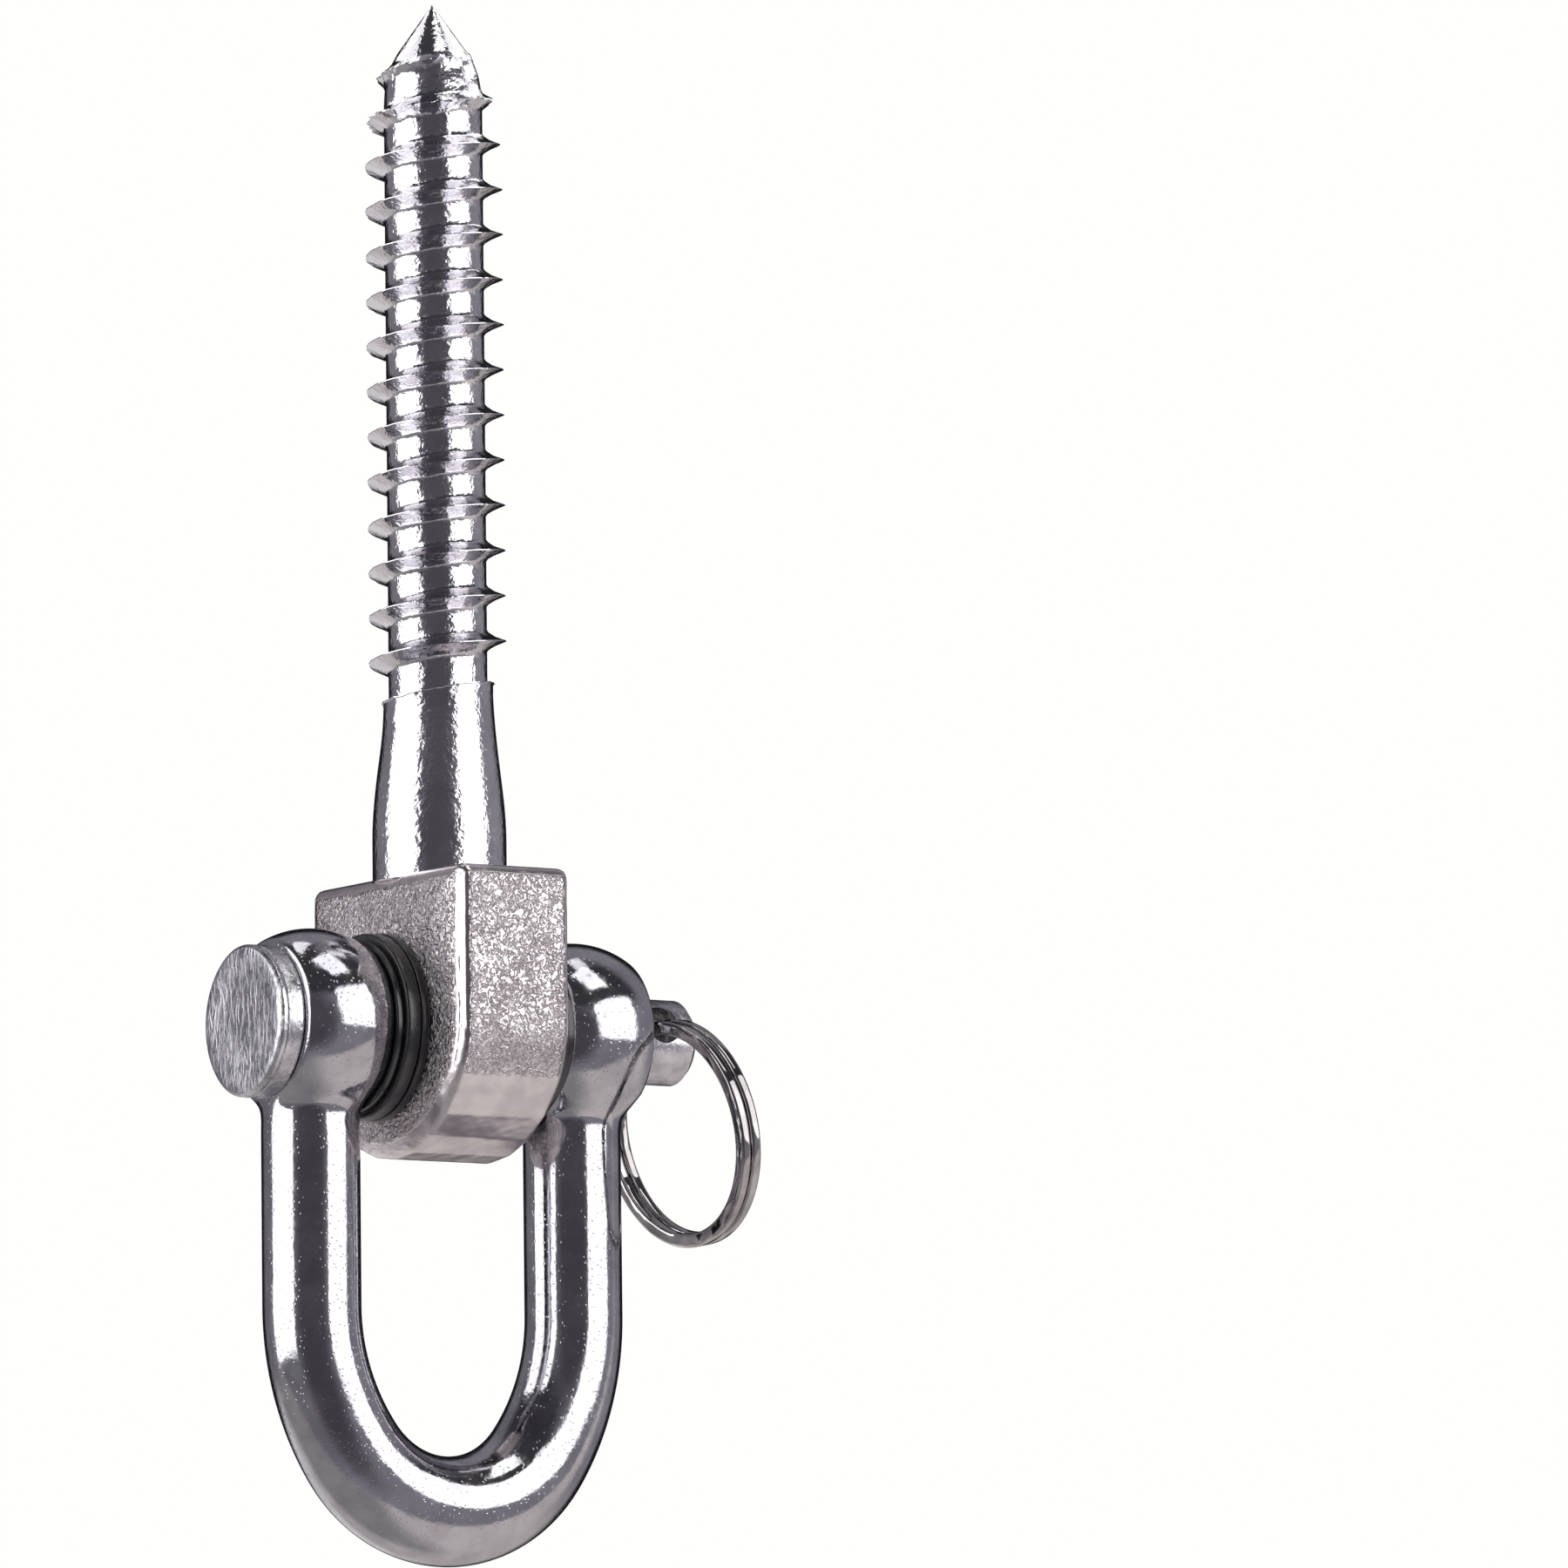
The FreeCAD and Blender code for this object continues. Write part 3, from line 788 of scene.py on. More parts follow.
@dataclass
class LagScrew:
    """The wood screw that stands out of the block, with a worn nose and a ragged run-out."""

    root: float = 4.575
    crest: float = 6.35
    pitch: float = 4.2333
    tooth_half: float = 0.92            # half the tooth's width at its foot
    crest_flat: float = 0.04
    toe_out: float = 0.12               # the fillet at the tooth's foot
    toe_in: float = 0.1
    toe_lift: float = 0.09              # lifts are shares of the tooth's full height
    hollow_low: float = 0.52            # the flanks' hollow, as shares of tooth_half
    hollow_high: float = 0.46
    hollow_lift: float = 0.42
    valley_low: float = 1.5
    valley_high: float = 1.6
    facets: int = 80
    thread_start: float = 18.3
    nose: Outline = ((0.0, 0.0), (4.7, 3.31), (5.9, 3.95), (6.9, 4.28), (8.1, 4.49))
    nose_length: float = 9.6
    nose_thread: Outline = ((0.0, 0.0), (4.6, 0.0), (6.4, 0.42), (9.0, 0.52), (11.0, 0.86),
                            (15.5, 1.0))
    run_out: float = 2.0                # how far the thread takes to rise from the ledge
    run_out_gap: float = 0.2
    nick: float = 0.06                  # wear of the whole thread, and more of it on the nose
    nose_wear: float = 0.5
    worn_length: float = 14.0
    worn_fade: float = 4.0
    clean_tip: float = 4.0
    least_lift: float = 0.05
    dents: Wander = Wander(1.3, 1.0)
    bends: Wander = Wander(1.6, 0.5, (9.0, 0.0, 0.0))
    shank: float = 6.2
    neck: float = 5.08
    neck_steps: int = 16
    flare_low: float = 3.6
    shoulder: float = 17.4
    shoulder_rise: float = 0.9
    shoulder_bearing: float = -31.0
    shoulder_delay: float = 0.6         # how late the neck starts to follow the ragged ledge
    chatter: Wander = Wander(3.1, 0.2, (0.0, 0.0, 7.0))
    burrs: Wander = Wander(9.0, 0.22, (0.0, 0.0, 3.0))
    burr: float = 0.13
    burr_drops: tuple[float, float, float, float] = (0.25, 0.22, 0.16, 0.06)
    lip_share: float = 0.97             # points that follow the ledge this closely are its lip
    torn_lip: Wander = Wander(2.3, 0.022)
    edge: float = 0.1
    spigot: float = 4.5
    spigot_low: float = -7.4
    spigot_chamfer: float = 0.4
    foot: float = -0.4
    weld: float = 0.004
    sliver: float = 0.002
    tip: float = field(default_factory=lambda: node_box("lag_screw")[1].z)

    def build(self) -> bpy.types.Object:
        """Model the screw as one closed skin.

        Returns:
            The screw, in millimetres.
        """
        shape = bmesh.new()
        self._spin_thread(shape)
        self._turn_shank(shape)
        bmesh.ops.remove_doubles(shape, verts=shape.verts, dist=self.weld)
        bmesh.ops.dissolve_degenerate(shape, dist=self.sliver, edges=shape.edges)
        bmesh.ops.recalc_face_normals(shape, faces=shape.faces)
        return to_object(shape, "lag_screw_polished")

    def _ledge(self, bearing: float) -> float:
        """Find the height of the ragged ledge where the thread runs out.

        Args:
            bearing: The direction from the screw's axis, in radians.

        Returns:
            The height, in millimetres.
        """
        lean = math.cos(bearing - math.radians(self.shoulder_bearing)) * self.shoulder_rise
        spoke = Vector((math.cos(bearing), math.sin(bearing), 0.0))
        return self.shoulder + lean + self.chatter.at(spoke) + self.burrs.at(spoke)

    def _core(self, height: float) -> float:
        """Radius of the screw's core at a height; it closes to the point."""
        return between((*self.nose, (self.nose_length, self.root)), self.tip - height)

    def _fullness(self, height: float, bearing: float) -> float:
        """How fully the thread stands at a place, from 0 to 1."""
        above = height - self._ledge(bearing) - self.run_out_gap
        return smooth_step(above / self.run_out) * between(self.nose_thread, self.tip - height)

    def _tooth(self) -> Outline:
        """Draw one pitch of the thread's outline.

        Returns:
            Pairs of a step up the screw and a share of the tooth's full height.
        """
        half, base = self.pitch / 2, self.tooth_half
        return [(-half, 0.0), (-self.valley_low, 0.0), (-base - self.toe_out, 0.0),
                (-base + self.toe_in, self.toe_lift),
                (-base * self.hollow_low, self.hollow_lift), (-self.crest_flat, 1.0),
                (self.crest_flat, 1.0), (base * self.hollow_high, self.hollow_lift),
                (base - self.toe_in, self.toe_lift), (base + self.toe_out, 0.0),
                (self.valley_high, 0.0), (half, 0.0)]

    def _spin_thread(self, shape: bmesh.types.BMesh) -> None:
        """Sweep one pitch of the thread's outline round and up the whole screw.

        Args:
            shape: The mesh that receives the thread.
        """
        start = self.thread_start - 2 * self.pitch
        rise = self.crest - self.root
        points = [shape.verts.new((self.root + rise * lift, 0.0, start + step))
                  for step, lift in self._tooth()]
        edges = [shape.edges.new(pair) for pair in zip(points, points[1:])]
        turns = math.ceil((self.tip - start) / self.pitch) + 1
        bmesh.ops.spin(shape, geom=points + edges, cent=(0, 0, 0), axis=(0, 0, 1),
                       dvec=(0, 0, self.pitch / self.facets), angle=math.tau * turns,
                       steps=self.facets * turns, use_merge=False)
        bmesh.ops.remove_doubles(shape, verts=shape.verts, dist=10 * WELD)
        for vert in shape.verts:
            vert.co = self._shaped(vert.co)
        bmesh.ops.remove_doubles(shape, verts=shape.verts, dist=self.weld)

    def _shaped(self, place: Vector) -> Vector:
        """Fit a point of the plain thread to the ledge, the wear and the point.

        Args:
            place: The point on a thread of even height.

        Returns:
            Where it goes.
        """
        bearing = math.atan2(place.y, place.x)
        height = min(max(place.z, self._ledge(bearing)), self.tip)
        lift = (place.xy.length - self.root) * self._fullness(height, bearing)
        radius = self._core(height)
        if lift > self.least_lift and height < self.tip - self.clean_tip:
            on_nose = (height - self.tip + self.worn_length) / self.worn_fade
            worn = self.nick + self.nose_wear * smooth_step(on_nose)
            radius += lift * (1.0 + worn * self.dents.at(place))
            height += worn * self.bends.at(place)
        if height >= self.tip:
            radius = 0.0
        return Vector((radius * math.cos(bearing), radius * math.sin(bearing), height))

    def _turn_shank(self, shape: bmesh.types.BMesh) -> None:
        """Turn the spigot, shank and waisted neck, and meet the thread at its ledge.

        Args:
            shape: The mesh that receives them.
        """
        top, lip = self.shoulder, self.neck + self.burr
        neck_drop, lip_start, lip_low, lip_high = self.burr_drops
        outline = [(0.0, self.spigot_low), (self.spigot - self.spigot_chamfer, self.spigot_low),
                   (self.spigot, self.spigot_low + self.spigot_chamfer),
                   (self.spigot, self.foot), (self.shank - self.edge, self.foot),
                   (self.shank, self.foot + self.edge)]
        for step in range(self.neck_steps + 1):
            share = step / self.neck_steps
            height = self.flare_low + (top - neck_drop - self.flare_low) * share
            outline.append((self.shank + (self.neck - self.shank) * smooth_step(share), height))
        outline += [(self.neck, top - lip_start), (lip, top - lip_low), (lip, top - lip_high),
                    (self.neck - self.edge, top), (self.root, top)]
        piece = bmesh.new()
        turned(piece, outline, self.facets)
        span = top - self.flare_low
        for vert in piece.verts:
            bearing = math.atan2(vert.co.y, vert.co.x)
            rise = (vert.co.z - self.flare_low) / span
            share = smooth_step(rise * (1.0 + self.shoulder_delay) - self.shoulder_delay)
            vert.co.z += (self._ledge(bearing) - top) * share
            if share > self.lip_share and vert.co.xy.length > self.root + self.edge:
                vert.co.xy *= 1.0 + self.torn_lip.at(vert.co)
        joined = bpy.data.meshes.new("shank")
        piece.to_mesh(joined)
        piece.free()
        shape.from_mesh(joined)
        bpy.data.meshes.remove(joined)


# ---------------------------------------------------------------- pivot block


@dataclass
class PivotBlock:
    """The cast block that the screw stands in and the shackle hangs from."""

    edge_round: float = 1.2
    edge_steps: int = 8
    corner: float = 10.5
    corner_steps: int = 14
    belly_steps: int = 8
    bore: float = 5.5
    socket: float = 4.5
    seat: float = 6.25
    seat_depth: float = 0.4
    socket_depth: float = 7.4
    unevenness: float = 0.05
    least_uneven: float = 0.1
    broad: Wander = Wander(0.42, 1.0)
    narrow: Wander = Wander(1.1, 0.5)
    top_share: float = 0.25             # how much of it the flat top keeps
    top_band: float = 0.1
    crown: float = 0.75
    crown_reach: float = 6.0
    crown_top_gap: float = 1.0          # the crown counts the top edge as this much further off
    belly_drop: float = 4.6             # where the rubbed belly starts below the pin
    belly_fade: float = 1.8
    belly_wear: float = 1.2
    edge_wear: float = 1.6
    facet: float = 0.25
    bore_length: float = 40.0
    low: Vector = field(default_factory=lambda: node_box("hanger_block")[0])
    high: Vector = field(default_factory=lambda: node_box("hanger_block")[1])
    axis_height: float = field(default_factory=lambda: joint_place("shackle_swing").z)

    def build(self) -> bpy.types.Object:
        """Model the block with its rounds, bores and slightly uneven cast faces.

        Returns:
            The block, in millimetres.
        """
        shape = bmesh.new()
        rim = [shape.verts.new((self.low.x, across, up)) for across, up in self._outline()]
        face = shape.faces.new(rim)
        grown = bmesh.ops.extrude_face_region(shape, geom=[face], use_keep_orig=True)
        moved = [item for item in grown["geom"] if isinstance(item, bmesh.types.BMVert)]
        bmesh.ops.translate(shape, verts=moved, vec=(self.high.x - self.low.x, 0, 0))
        bmesh.ops.recalc_face_normals(shape, faces=shape.faces)
        soften(shape, self.edge_round, self.edge_steps)
        piece = to_object(shape, "hanger_block_cast")
        remesh(piece, self.facet)
        self._cast_unevenness(piece)
        for tool in self._cutters():
            combine(piece, tool, Operation.CUT)
        self._mark_worn_edges(piece)
        return piece

    def _mark_worn_edges(self, piece: bpy.types.Object) -> None:
        """Store how far each point lies on a rounded edge, where the cast skin is rubbed off.

        Args:
            piece: The block.
        """
        worn = piece.data.attributes.new("worn_edge", "FLOAT", "POINT")
        for vert in piece.data.vertices:
            # 4 s (1 - s), with s a part of the normal squared, is 1 halfway round an edge
            side, end, up = (part * part for part in vert.normal)
            edge = 4.0 * side * (1.0 - side)
            if vert.co.z > self.high.z - 2 * self.edge_round:
                edge = max(edge, 4.0 * end * up)
            belly = (self.axis_height - self.belly_drop - vert.co.z) / self.belly_fade
            rubbed = min(belly, 1.0) * (1.0 - side) * self.belly_wear
            worn.data[vert.index].value = smooth_step(max(edge * self.edge_wear, rubbed))

    def _outline(self) -> list[tuple[float, float]]:
        """Draw the block's side view: flat top, upright sides and a three-arc belly.

        Returns:
            Pairs of a place across the block and a height.
        """
        half, rise = self.high.y, self.axis_height - self.low.z
        belly = (half**2 + rise**2 - 2 * half * self.corner) / (2 * (rise - self.corner))
        lean = math.degrees(math.atan2(half - self.corner, belly - rise))
        level = self.axis_height
        left = arc_points((self.corner - half, level), self.corner, 180, 270 - lean,
                          self.corner_steps)
        base = arc_points((0.0, self.low.z + belly), belly, 270 - lean, 270 + lean,
                          self.belly_steps)
        right = arc_points((half - self.corner, level), self.corner, 270 + lean, 360,
                           self.corner_steps)
        return [(half, self.high.z), (-half, self.high.z), *left, *base[1:-1], *right]

    def _cast_unevenness(self, piece: bpy.types.Object) -> None:
        """Crown the cast faces and let them wander, always inside the block's box.

        Args:
            piece: The block.
        """
        normals = [vert.normal.copy() for vert in piece.data.vertices]
        for vert, normal in zip(piece.data.vertices, normals):
            wander = self.broad.at(vert.co) + self.narrow.at(vert.co)
            inward = self.unevenness * (abs(wander) + self.least_uneven)
            if vert.co.z > self.high.z - self.top_band:
                inward *= self.top_share
            near_rim = max(0.0, 1.0 - self._to_rim(vert.co.y, vert.co.z) / self.crown_reach)
            inward += self.crown * near_rim**2 * abs(normal.x)
            vert.co -= normal * inward

    def _to_rim(self, across: float, up: float) -> float:
        """Measure from a place in the side view to the block's outline.

        Args:
            across: The place across the block.
            up: Its height.

        Returns:
            The distance, plus crown_top_gap from the top edge.
        """
        if up > self.axis_height:
            return max(0.0, min(self.high.y - abs(across), self.high.z - up + self.crown_top_gap))
        drop = math.hypot(across / self.high.y, (up - self.axis_height)
                          / (self.axis_height - self.low.z))
        return max(0.0, (1.0 - drop) * self.high.y)

    def _cutters(self) -> list[bpy.types.Object]:
        """Make the tools for the pin bore, the screw's socket and the seat of its foot.

        Returns:
            The three tools.
        """
        down = Matrix.Translation((0, 0, self.high.z))
        return [cylinder_tool(self.bore, self.bore_length, pin_lay((0, 0, self.axis_height))),
                cylinder_tool(self.socket, 2 * self.socket_depth, down),
                cylinder_tool(self.seat, 2 * self.seat_depth, down)]


# ---------------------------------------------------------------- black rings and bushes


@dataclass
class BushStack:
    """The nylon bush, rubber spacer and nylon washer on one side of the block."""

    side: Side
    facets: int = 96
    bush_bore: float = 4.05
    bush_sleeve: float = 5.5
    bush_edge: float = 0.16
    ring_bore: float = 4.25
    spacer_edge: float = 0.3
    washer_edge: float = 0.14
    level: float = field(default_factory=lambda: joint_place("shackle_swing").z)

    def build(self) -> dict[str, bpy.types.Object]:
        """Model the three rings.

        Returns:
            The pieces by the node that each stands for.
        """
        suffix = self.side.name.lower()
        bush, spacer, washer = (f"{kind}_{suffix}"
                                for kind in ("flanged_bush", "spacer_ring", "ear_washer"))
        return {bush: self._bush(bush), spacer: self._ring(spacer, self.spacer_edge),
                washer: self._ring(washer, self.washer_edge)}

    def _reach(self, node: str) -> tuple[float, float, float]:
        """Find where a ring lies along the pin.

        Args:
            node: The ring's node.

        Returns:
            Its near and far ends, away from the block, and its radius.
        """
        low, high = node_box(node)
        near, far = sorted((abs(low.x), abs(high.x)))
        return near, far, high.y

    def _place(self, shape: bmesh.types.BMesh, node: str) -> bpy.types.Object:
        """Lay a ring along the pin on its own side of the block.

        Args:
            shape: The ring, turned about +Z.
            node: The node that it stands for.

        Returns:
            The piece.
        """
        along_pin(shape, Vector((0, 0, self.level)))
        if self.side is Side.LEFT:
            bmesh.ops.scale(shape, vec=(-1, 1, 1), verts=shape.verts)
            bmesh.ops.recalc_face_normals(shape, faces=shape.faces)
        return to_object(shape, f"{node}_moulded")

    def _bush(self, node: str) -> bpy.types.Object:
        """Model the flanged sleeve that lines the block's bore.

        Args:
            node: The node that it stands for.

        Returns:
            The bush.
        """
        near, far, radius = self._reach(node)
        flange = node_box("hanger_block")[1].x
        bore, sleeve = self.bush_bore, self.bush_sleeve
        shape = bmesh.new()
        turned(shape, [(bore, near), (sleeve, near), (sleeve, flange), (radius, flange),
                       (radius, far), (bore, far)], self.facets, closed=True)
        soften(shape, self.bush_edge, segments=3)
        return self._place(shape, node)

    def _ring(self, node: str, edge: float) -> bpy.types.Object:
        """Model a plain ring.

        Args:
            node: The node that it stands for.
            edge: How far its moulded edges are rounded.

        Returns:
            The ring.
        """
        near, far, radius = self._reach(node)
        shape = bmesh.new()
        turned(shape, [(self.ring_bore, near), (radius, near), (radius, far),
                       (self.ring_bore, far)], self.facets, closed=True)
        soften(shape, edge, segments=4)
        return self._place(shape, node)


# ---------------------------------------------------------------- shackle


@dataclass
class Shackle:
    """The forged D-shackle, legs and bow of round wire with ball-shaped ears."""

    leg_place: float = 14.1
    leg_radius: float = 4.55
    bow_radius: float = 5.1
    leg_length: float = 25.95
    bow_depth: float = 18.4
    side_arc: float = 23.0
    ear_radius: float = 8.8
    ear_half: float = 4.6
    ear_bore: float = 4.08
    outer_round: float = 1.5
    inner_round: float = 0.5
    inner_band: float = 0.9             # the inner edge lies past this share of ear_half
    blend_reach: float = 2.2            # how far the ears' blend into the legs reaches
    blend_full: float = 1.6
    blend_factor: float = 0.6
    blend_rounds: int = 70
    facet: float = 0.24
    bore_length: float = 60.0
    wire_facets: int = 48
    wire_steps: int = 26
    ear_facets: int = 96
    ear_steps: int = 30
    weld: float = 0.002
    level: float = field(default_factory=lambda: joint_place("shackle_swing").z)

    def build(self) -> bpy.types.Object:
        """Model the shackle and blend its ears into the legs.

        Returns:
            The shackle, in millimetres.
        """
        piece = self._wire()
        for side in (-1, 1):
            combine(piece, self._ear(side), Operation.JOIN)
        remesh(piece, self.facet)
        self._blend_ears(piece)
        drill = cylinder_tool(self.ear_bore, self.bore_length, pin_lay((0, 0, self.level)))
        combine(piece, drill, Operation.CUT)
        return piece

    def _blend_ears(self, piece: bpy.types.Object) -> None:
        """Ease the inner corner where each ear grows out of its leg.

        Args:
            piece: The shackle.
        """
        corner = self.level - math.sqrt(self.ear_radius**2 - self.leg_radius**2)
        group = piece.vertex_groups.new(name="ear_corner")
        for vert in piece.data.vertices:
            weight = 1.0 - abs(vert.co.z - corner) / self.blend_reach
            if weight > 0:
                group.add([vert.index], smooth_step(weight * self.blend_full), "REPLACE")
        add_smoothing(piece, self.blend_factor, self.blend_rounds, group.name)
        apply_modifiers(piece)
        piece.vertex_groups.clear()

    def _wire(self) -> bpy.types.Object:
        """Bend the wire: a leg, a side arc and half the bottom arc, mirrored.

        Returns:
            The closed wire.
        """
        shape = bmesh.new()
        top = Matrix.Translation((self.leg_place, 0, self.level))
        ring = bmesh.ops.create_circle(shape, cap_ends=False, segments=self.wire_facets,
                                       radius=self.leg_radius, matrix=top)["verts"]
        edges = list({edge for vert in ring for edge in vert.link_edges})
        start = self.level - self.leg_length
        ring, edges = self._run(shape, ring, edges, Vector((0, 0, -self.leg_length)))
        drop, reach, side = self.bow_depth, self.leg_place, self.side_arc
        bottom = (2 * reach * side - reach**2 - drop**2) / (2 * (side - drop))
        lean = math.atan2(drop - bottom, side - reach)
        ring, edges = self._bend(shape, ring, edges, Vector((reach - side, 0, start)), lean)
        centre = Vector((0, 0, start - drop + bottom))
        self._bend(shape, ring, edges, centre, math.pi / 2 - lean)
        self._thicken(shape, start, lean, bottom)
        bmesh.ops.mirror(shape, geom=[*shape.verts, *shape.edges, *shape.faces],
                         matrix=Matrix.Identity(4), merge_dist=self.weld / 2, axis="X")
        bmesh.ops.remove_doubles(shape, verts=shape.verts, dist=self.weld)
        bmesh.ops.holes_fill(shape, edges=shape.edges, sides=0)
        bmesh.ops.recalc_face_normals(shape, faces=shape.faces)
        return to_object(shape, "shackle_forged")

    @staticmethod
    def _last(made: list) -> tuple[list, list]:
        """The vertices and edges that an extrusion or bend ended on."""
        return ([item for item in made if isinstance(item, bmesh.types.BMVert)],
                [item for item in made if isinstance(item, bmesh.types.BMEdge)])

    def _run(self, shape: bmesh.types.BMesh, ring: list, edges: list, travel: Vector
             ) -> tuple[list, list]:
        """Extrude a ring of the wire straight on.

        Args:
            shape: The wire so far.
            ring: The vertices it ends on.
            edges: The edges it ends on.
            travel: How far the wire goes.

        Returns:
            The vertices and edges of the new end.
        """
        for _ in range(self.wire_steps):
            grown = bmesh.ops.extrude_edge_only(shape, edges=edges)["geom"]
            ring, edges = self._last(grown)
            edges = [edge for edge in edges if all(vert in ring for vert in edge.verts)]
            bmesh.ops.translate(shape, verts=ring, vec=travel / self.wire_steps)
        return ring, edges

    def _bend(self, shape: bmesh.types.BMesh, ring: list, edges: list, centre: Vector,
              angle: float) -> tuple[list, list]:
        """Spin a ring of the wire round a bend.

        Args:
            shape: The wire so far.
            ring: The vertices it ends on.
            edges: The edges it ends on.
            centre: The bend's centre.
            angle: How far it bends, in radians.

        Returns:
            The vertices and edges of the new end.
        """
        made = bmesh.ops.spin(shape, geom=ring + edges, cent=centre, axis=(0, 1, 0),
                              dvec=(0, 0, 0), angle=angle, steps=self.wire_steps, use_merge=False)
        return self._last(made["geom_last"])

    def _thicken(self, shape: bmesh.types.BMesh, start: float, lean: float, bottom: float) -> None:
        """Let the wire grow thicker towards the bottom of the bow.

        Args:
            shape: The wire so far, one half of the shackle.
            start: Height at which the bow starts.
            lean: Angle that the side arc turns through.
            bottom: Radius of the bottom arc.
        """
        side_centre = Vector((self.leg_place - self.side_arc, 0, start))
        bottom_centre = Vector((0, 0, start - self.bow_depth + bottom))
        growth = self.bow_radius / self.leg_radius - 1.0
        halfway = 0.5                   # the share of the growth that the side arc takes
        for vert in shape.verts:
            if vert.co.z > start:
                continue
            from_side = vert.co - side_centre
            turn = math.atan2(-from_side.z, from_side.x)
            if turn < lean:
                centre, radius, share = side_centre, self.side_arc, halfway * turn / lean
            else:
                centre, radius = bottom_centre, bottom
                onward = vert.co - bottom_centre
                turn = math.atan2(-onward.z, onward.x)
                share = halfway + halfway * (turn - lean) / (math.pi / 2 - lean)
            spoke = Vector((math.cos(turn), 0, -math.sin(turn)))
            middle = centre + spoke * radius
            vert.co = middle + (vert.co - middle) * (1.0 + growth * smooth_step(share))

    def _ear(self, side: int) -> bpy.types.Object:
        """Model a ball that is flat where the washer and the pin's head or ring meet it.

        Args:
            side: -1 for the left ear, 1 for the right one.

        Returns:
            The ear, reaching through its leg.
        """
        half = self.ear_half
        lift = math.degrees(math.asin(half / self.ear_radius))
        belt = arc_points((0.0, 0.0), self.ear_radius, -lift, lift, self.ear_steps)
        shape = bmesh.new()
        turned(shape, [(0.0, -half), *belt, (0.0, half)], self.ear_facets)
        soften(shape, self.outer_round, segments=6, where=lambda place: place.z * side > 0)
        soften(shape, self.inner_round, segments=4,
               where=lambda place: place.z * side < -self.inner_band * half)
        along_pin(shape, Vector((side * self.leg_place, 0, self.level)))
        return to_object(shape, "ear")


# ---------------------------------------------------------------- clevis pin and split ring


@dataclass
class ClevisPin:
    """The headed pin with a cross hole at its free end."""

    radius: float = 4.0
    head_radius: float = 7.0
    head_chamfer: float = 0.32
    head_swell: float = 0.02
    face_rises: Outline = ((2.2, 0.05), (1.3, 0.0), (0.8, 0.0))     # (in from the rim, sunk)
    face_dish: float = 0.06
    rim_sink: float = 0.05
    groove_gap: float = 0.35            # from the chamfer to the groove round the head
    groove_half: float = 0.1
    groove_depth: float = 0.07
    back_round: float = 0.12
    back_start: float = 0.3
    edge: float = 0.06
    end_chamfer: float = 0.6
    hole_radius: float = 1.85
    countersink: float = 0.3
    facets: int = 128
    low: Vector = field(default_factory=lambda: node_box("clevis_pin")[0])
    high: Vector = field(default_factory=lambda: node_box("clevis_pin")[1])
    head_play: float = 0.05

    def build(self) -> bpy.types.Object:
        """Model the pin, turned as it rests, with a countersunk cross hole.

        Returns:
            The pin, in millimetres.
        """
        shape = bmesh.new()
        turned(shape, self._outline(), self.facets)
        soften(shape, self.edge, segments=2, angle=25.0)
        along_pin(shape, Vector((0, 0, joint_place("pin_turn").z)))
        piece = to_object(shape, "clevis_pin_turned")
        axis = Vector(joint_named("ring_swing")["axis"])
        drill = (Matrix.Translation(joint_place("ring_swing"))
                 @ axis.to_track_quat("Z", "Y").to_matrix().to_4x4())
        hole = cylinder_tool(self.hole_radius, 2 * self.radius, drill, self.countersink)
        combine(piece, hole, Operation.CUT)
        return piece

    def _outline(self) -> Outline:
        """Draw the pin's profile, from the middle of the head's face to that of the free end.

        Returns:
            Pairs of a radius and a place along the pin.
        """
        head, chamfer = self.head_radius, self.head_chamfer
        face, end = self.low.x, self.high.x
        back = node_box("shackle")[0].x - self.head_play
        groove = face + chamfer + self.groove_gap
        return [(0.0, face + self.face_dish),
                *((head - inset, face + sunk) for inset, sunk in self.face_rises),
                (head - chamfer, face + self.rim_sink), (head, face + chamfer), (head, groove),
                (head - self.groove_depth, groove + self.groove_half),
                (head, groove + 2 * self.groove_half),
                (head + self.head_swell, back - self.back_start),
                (head, back - self.back_round), (head - self.back_round, back),
                (self.radius, back), (self.radius, end - self.end_chamfer),
                (self.radius - self.end_chamfer, end), (0.0, end)]


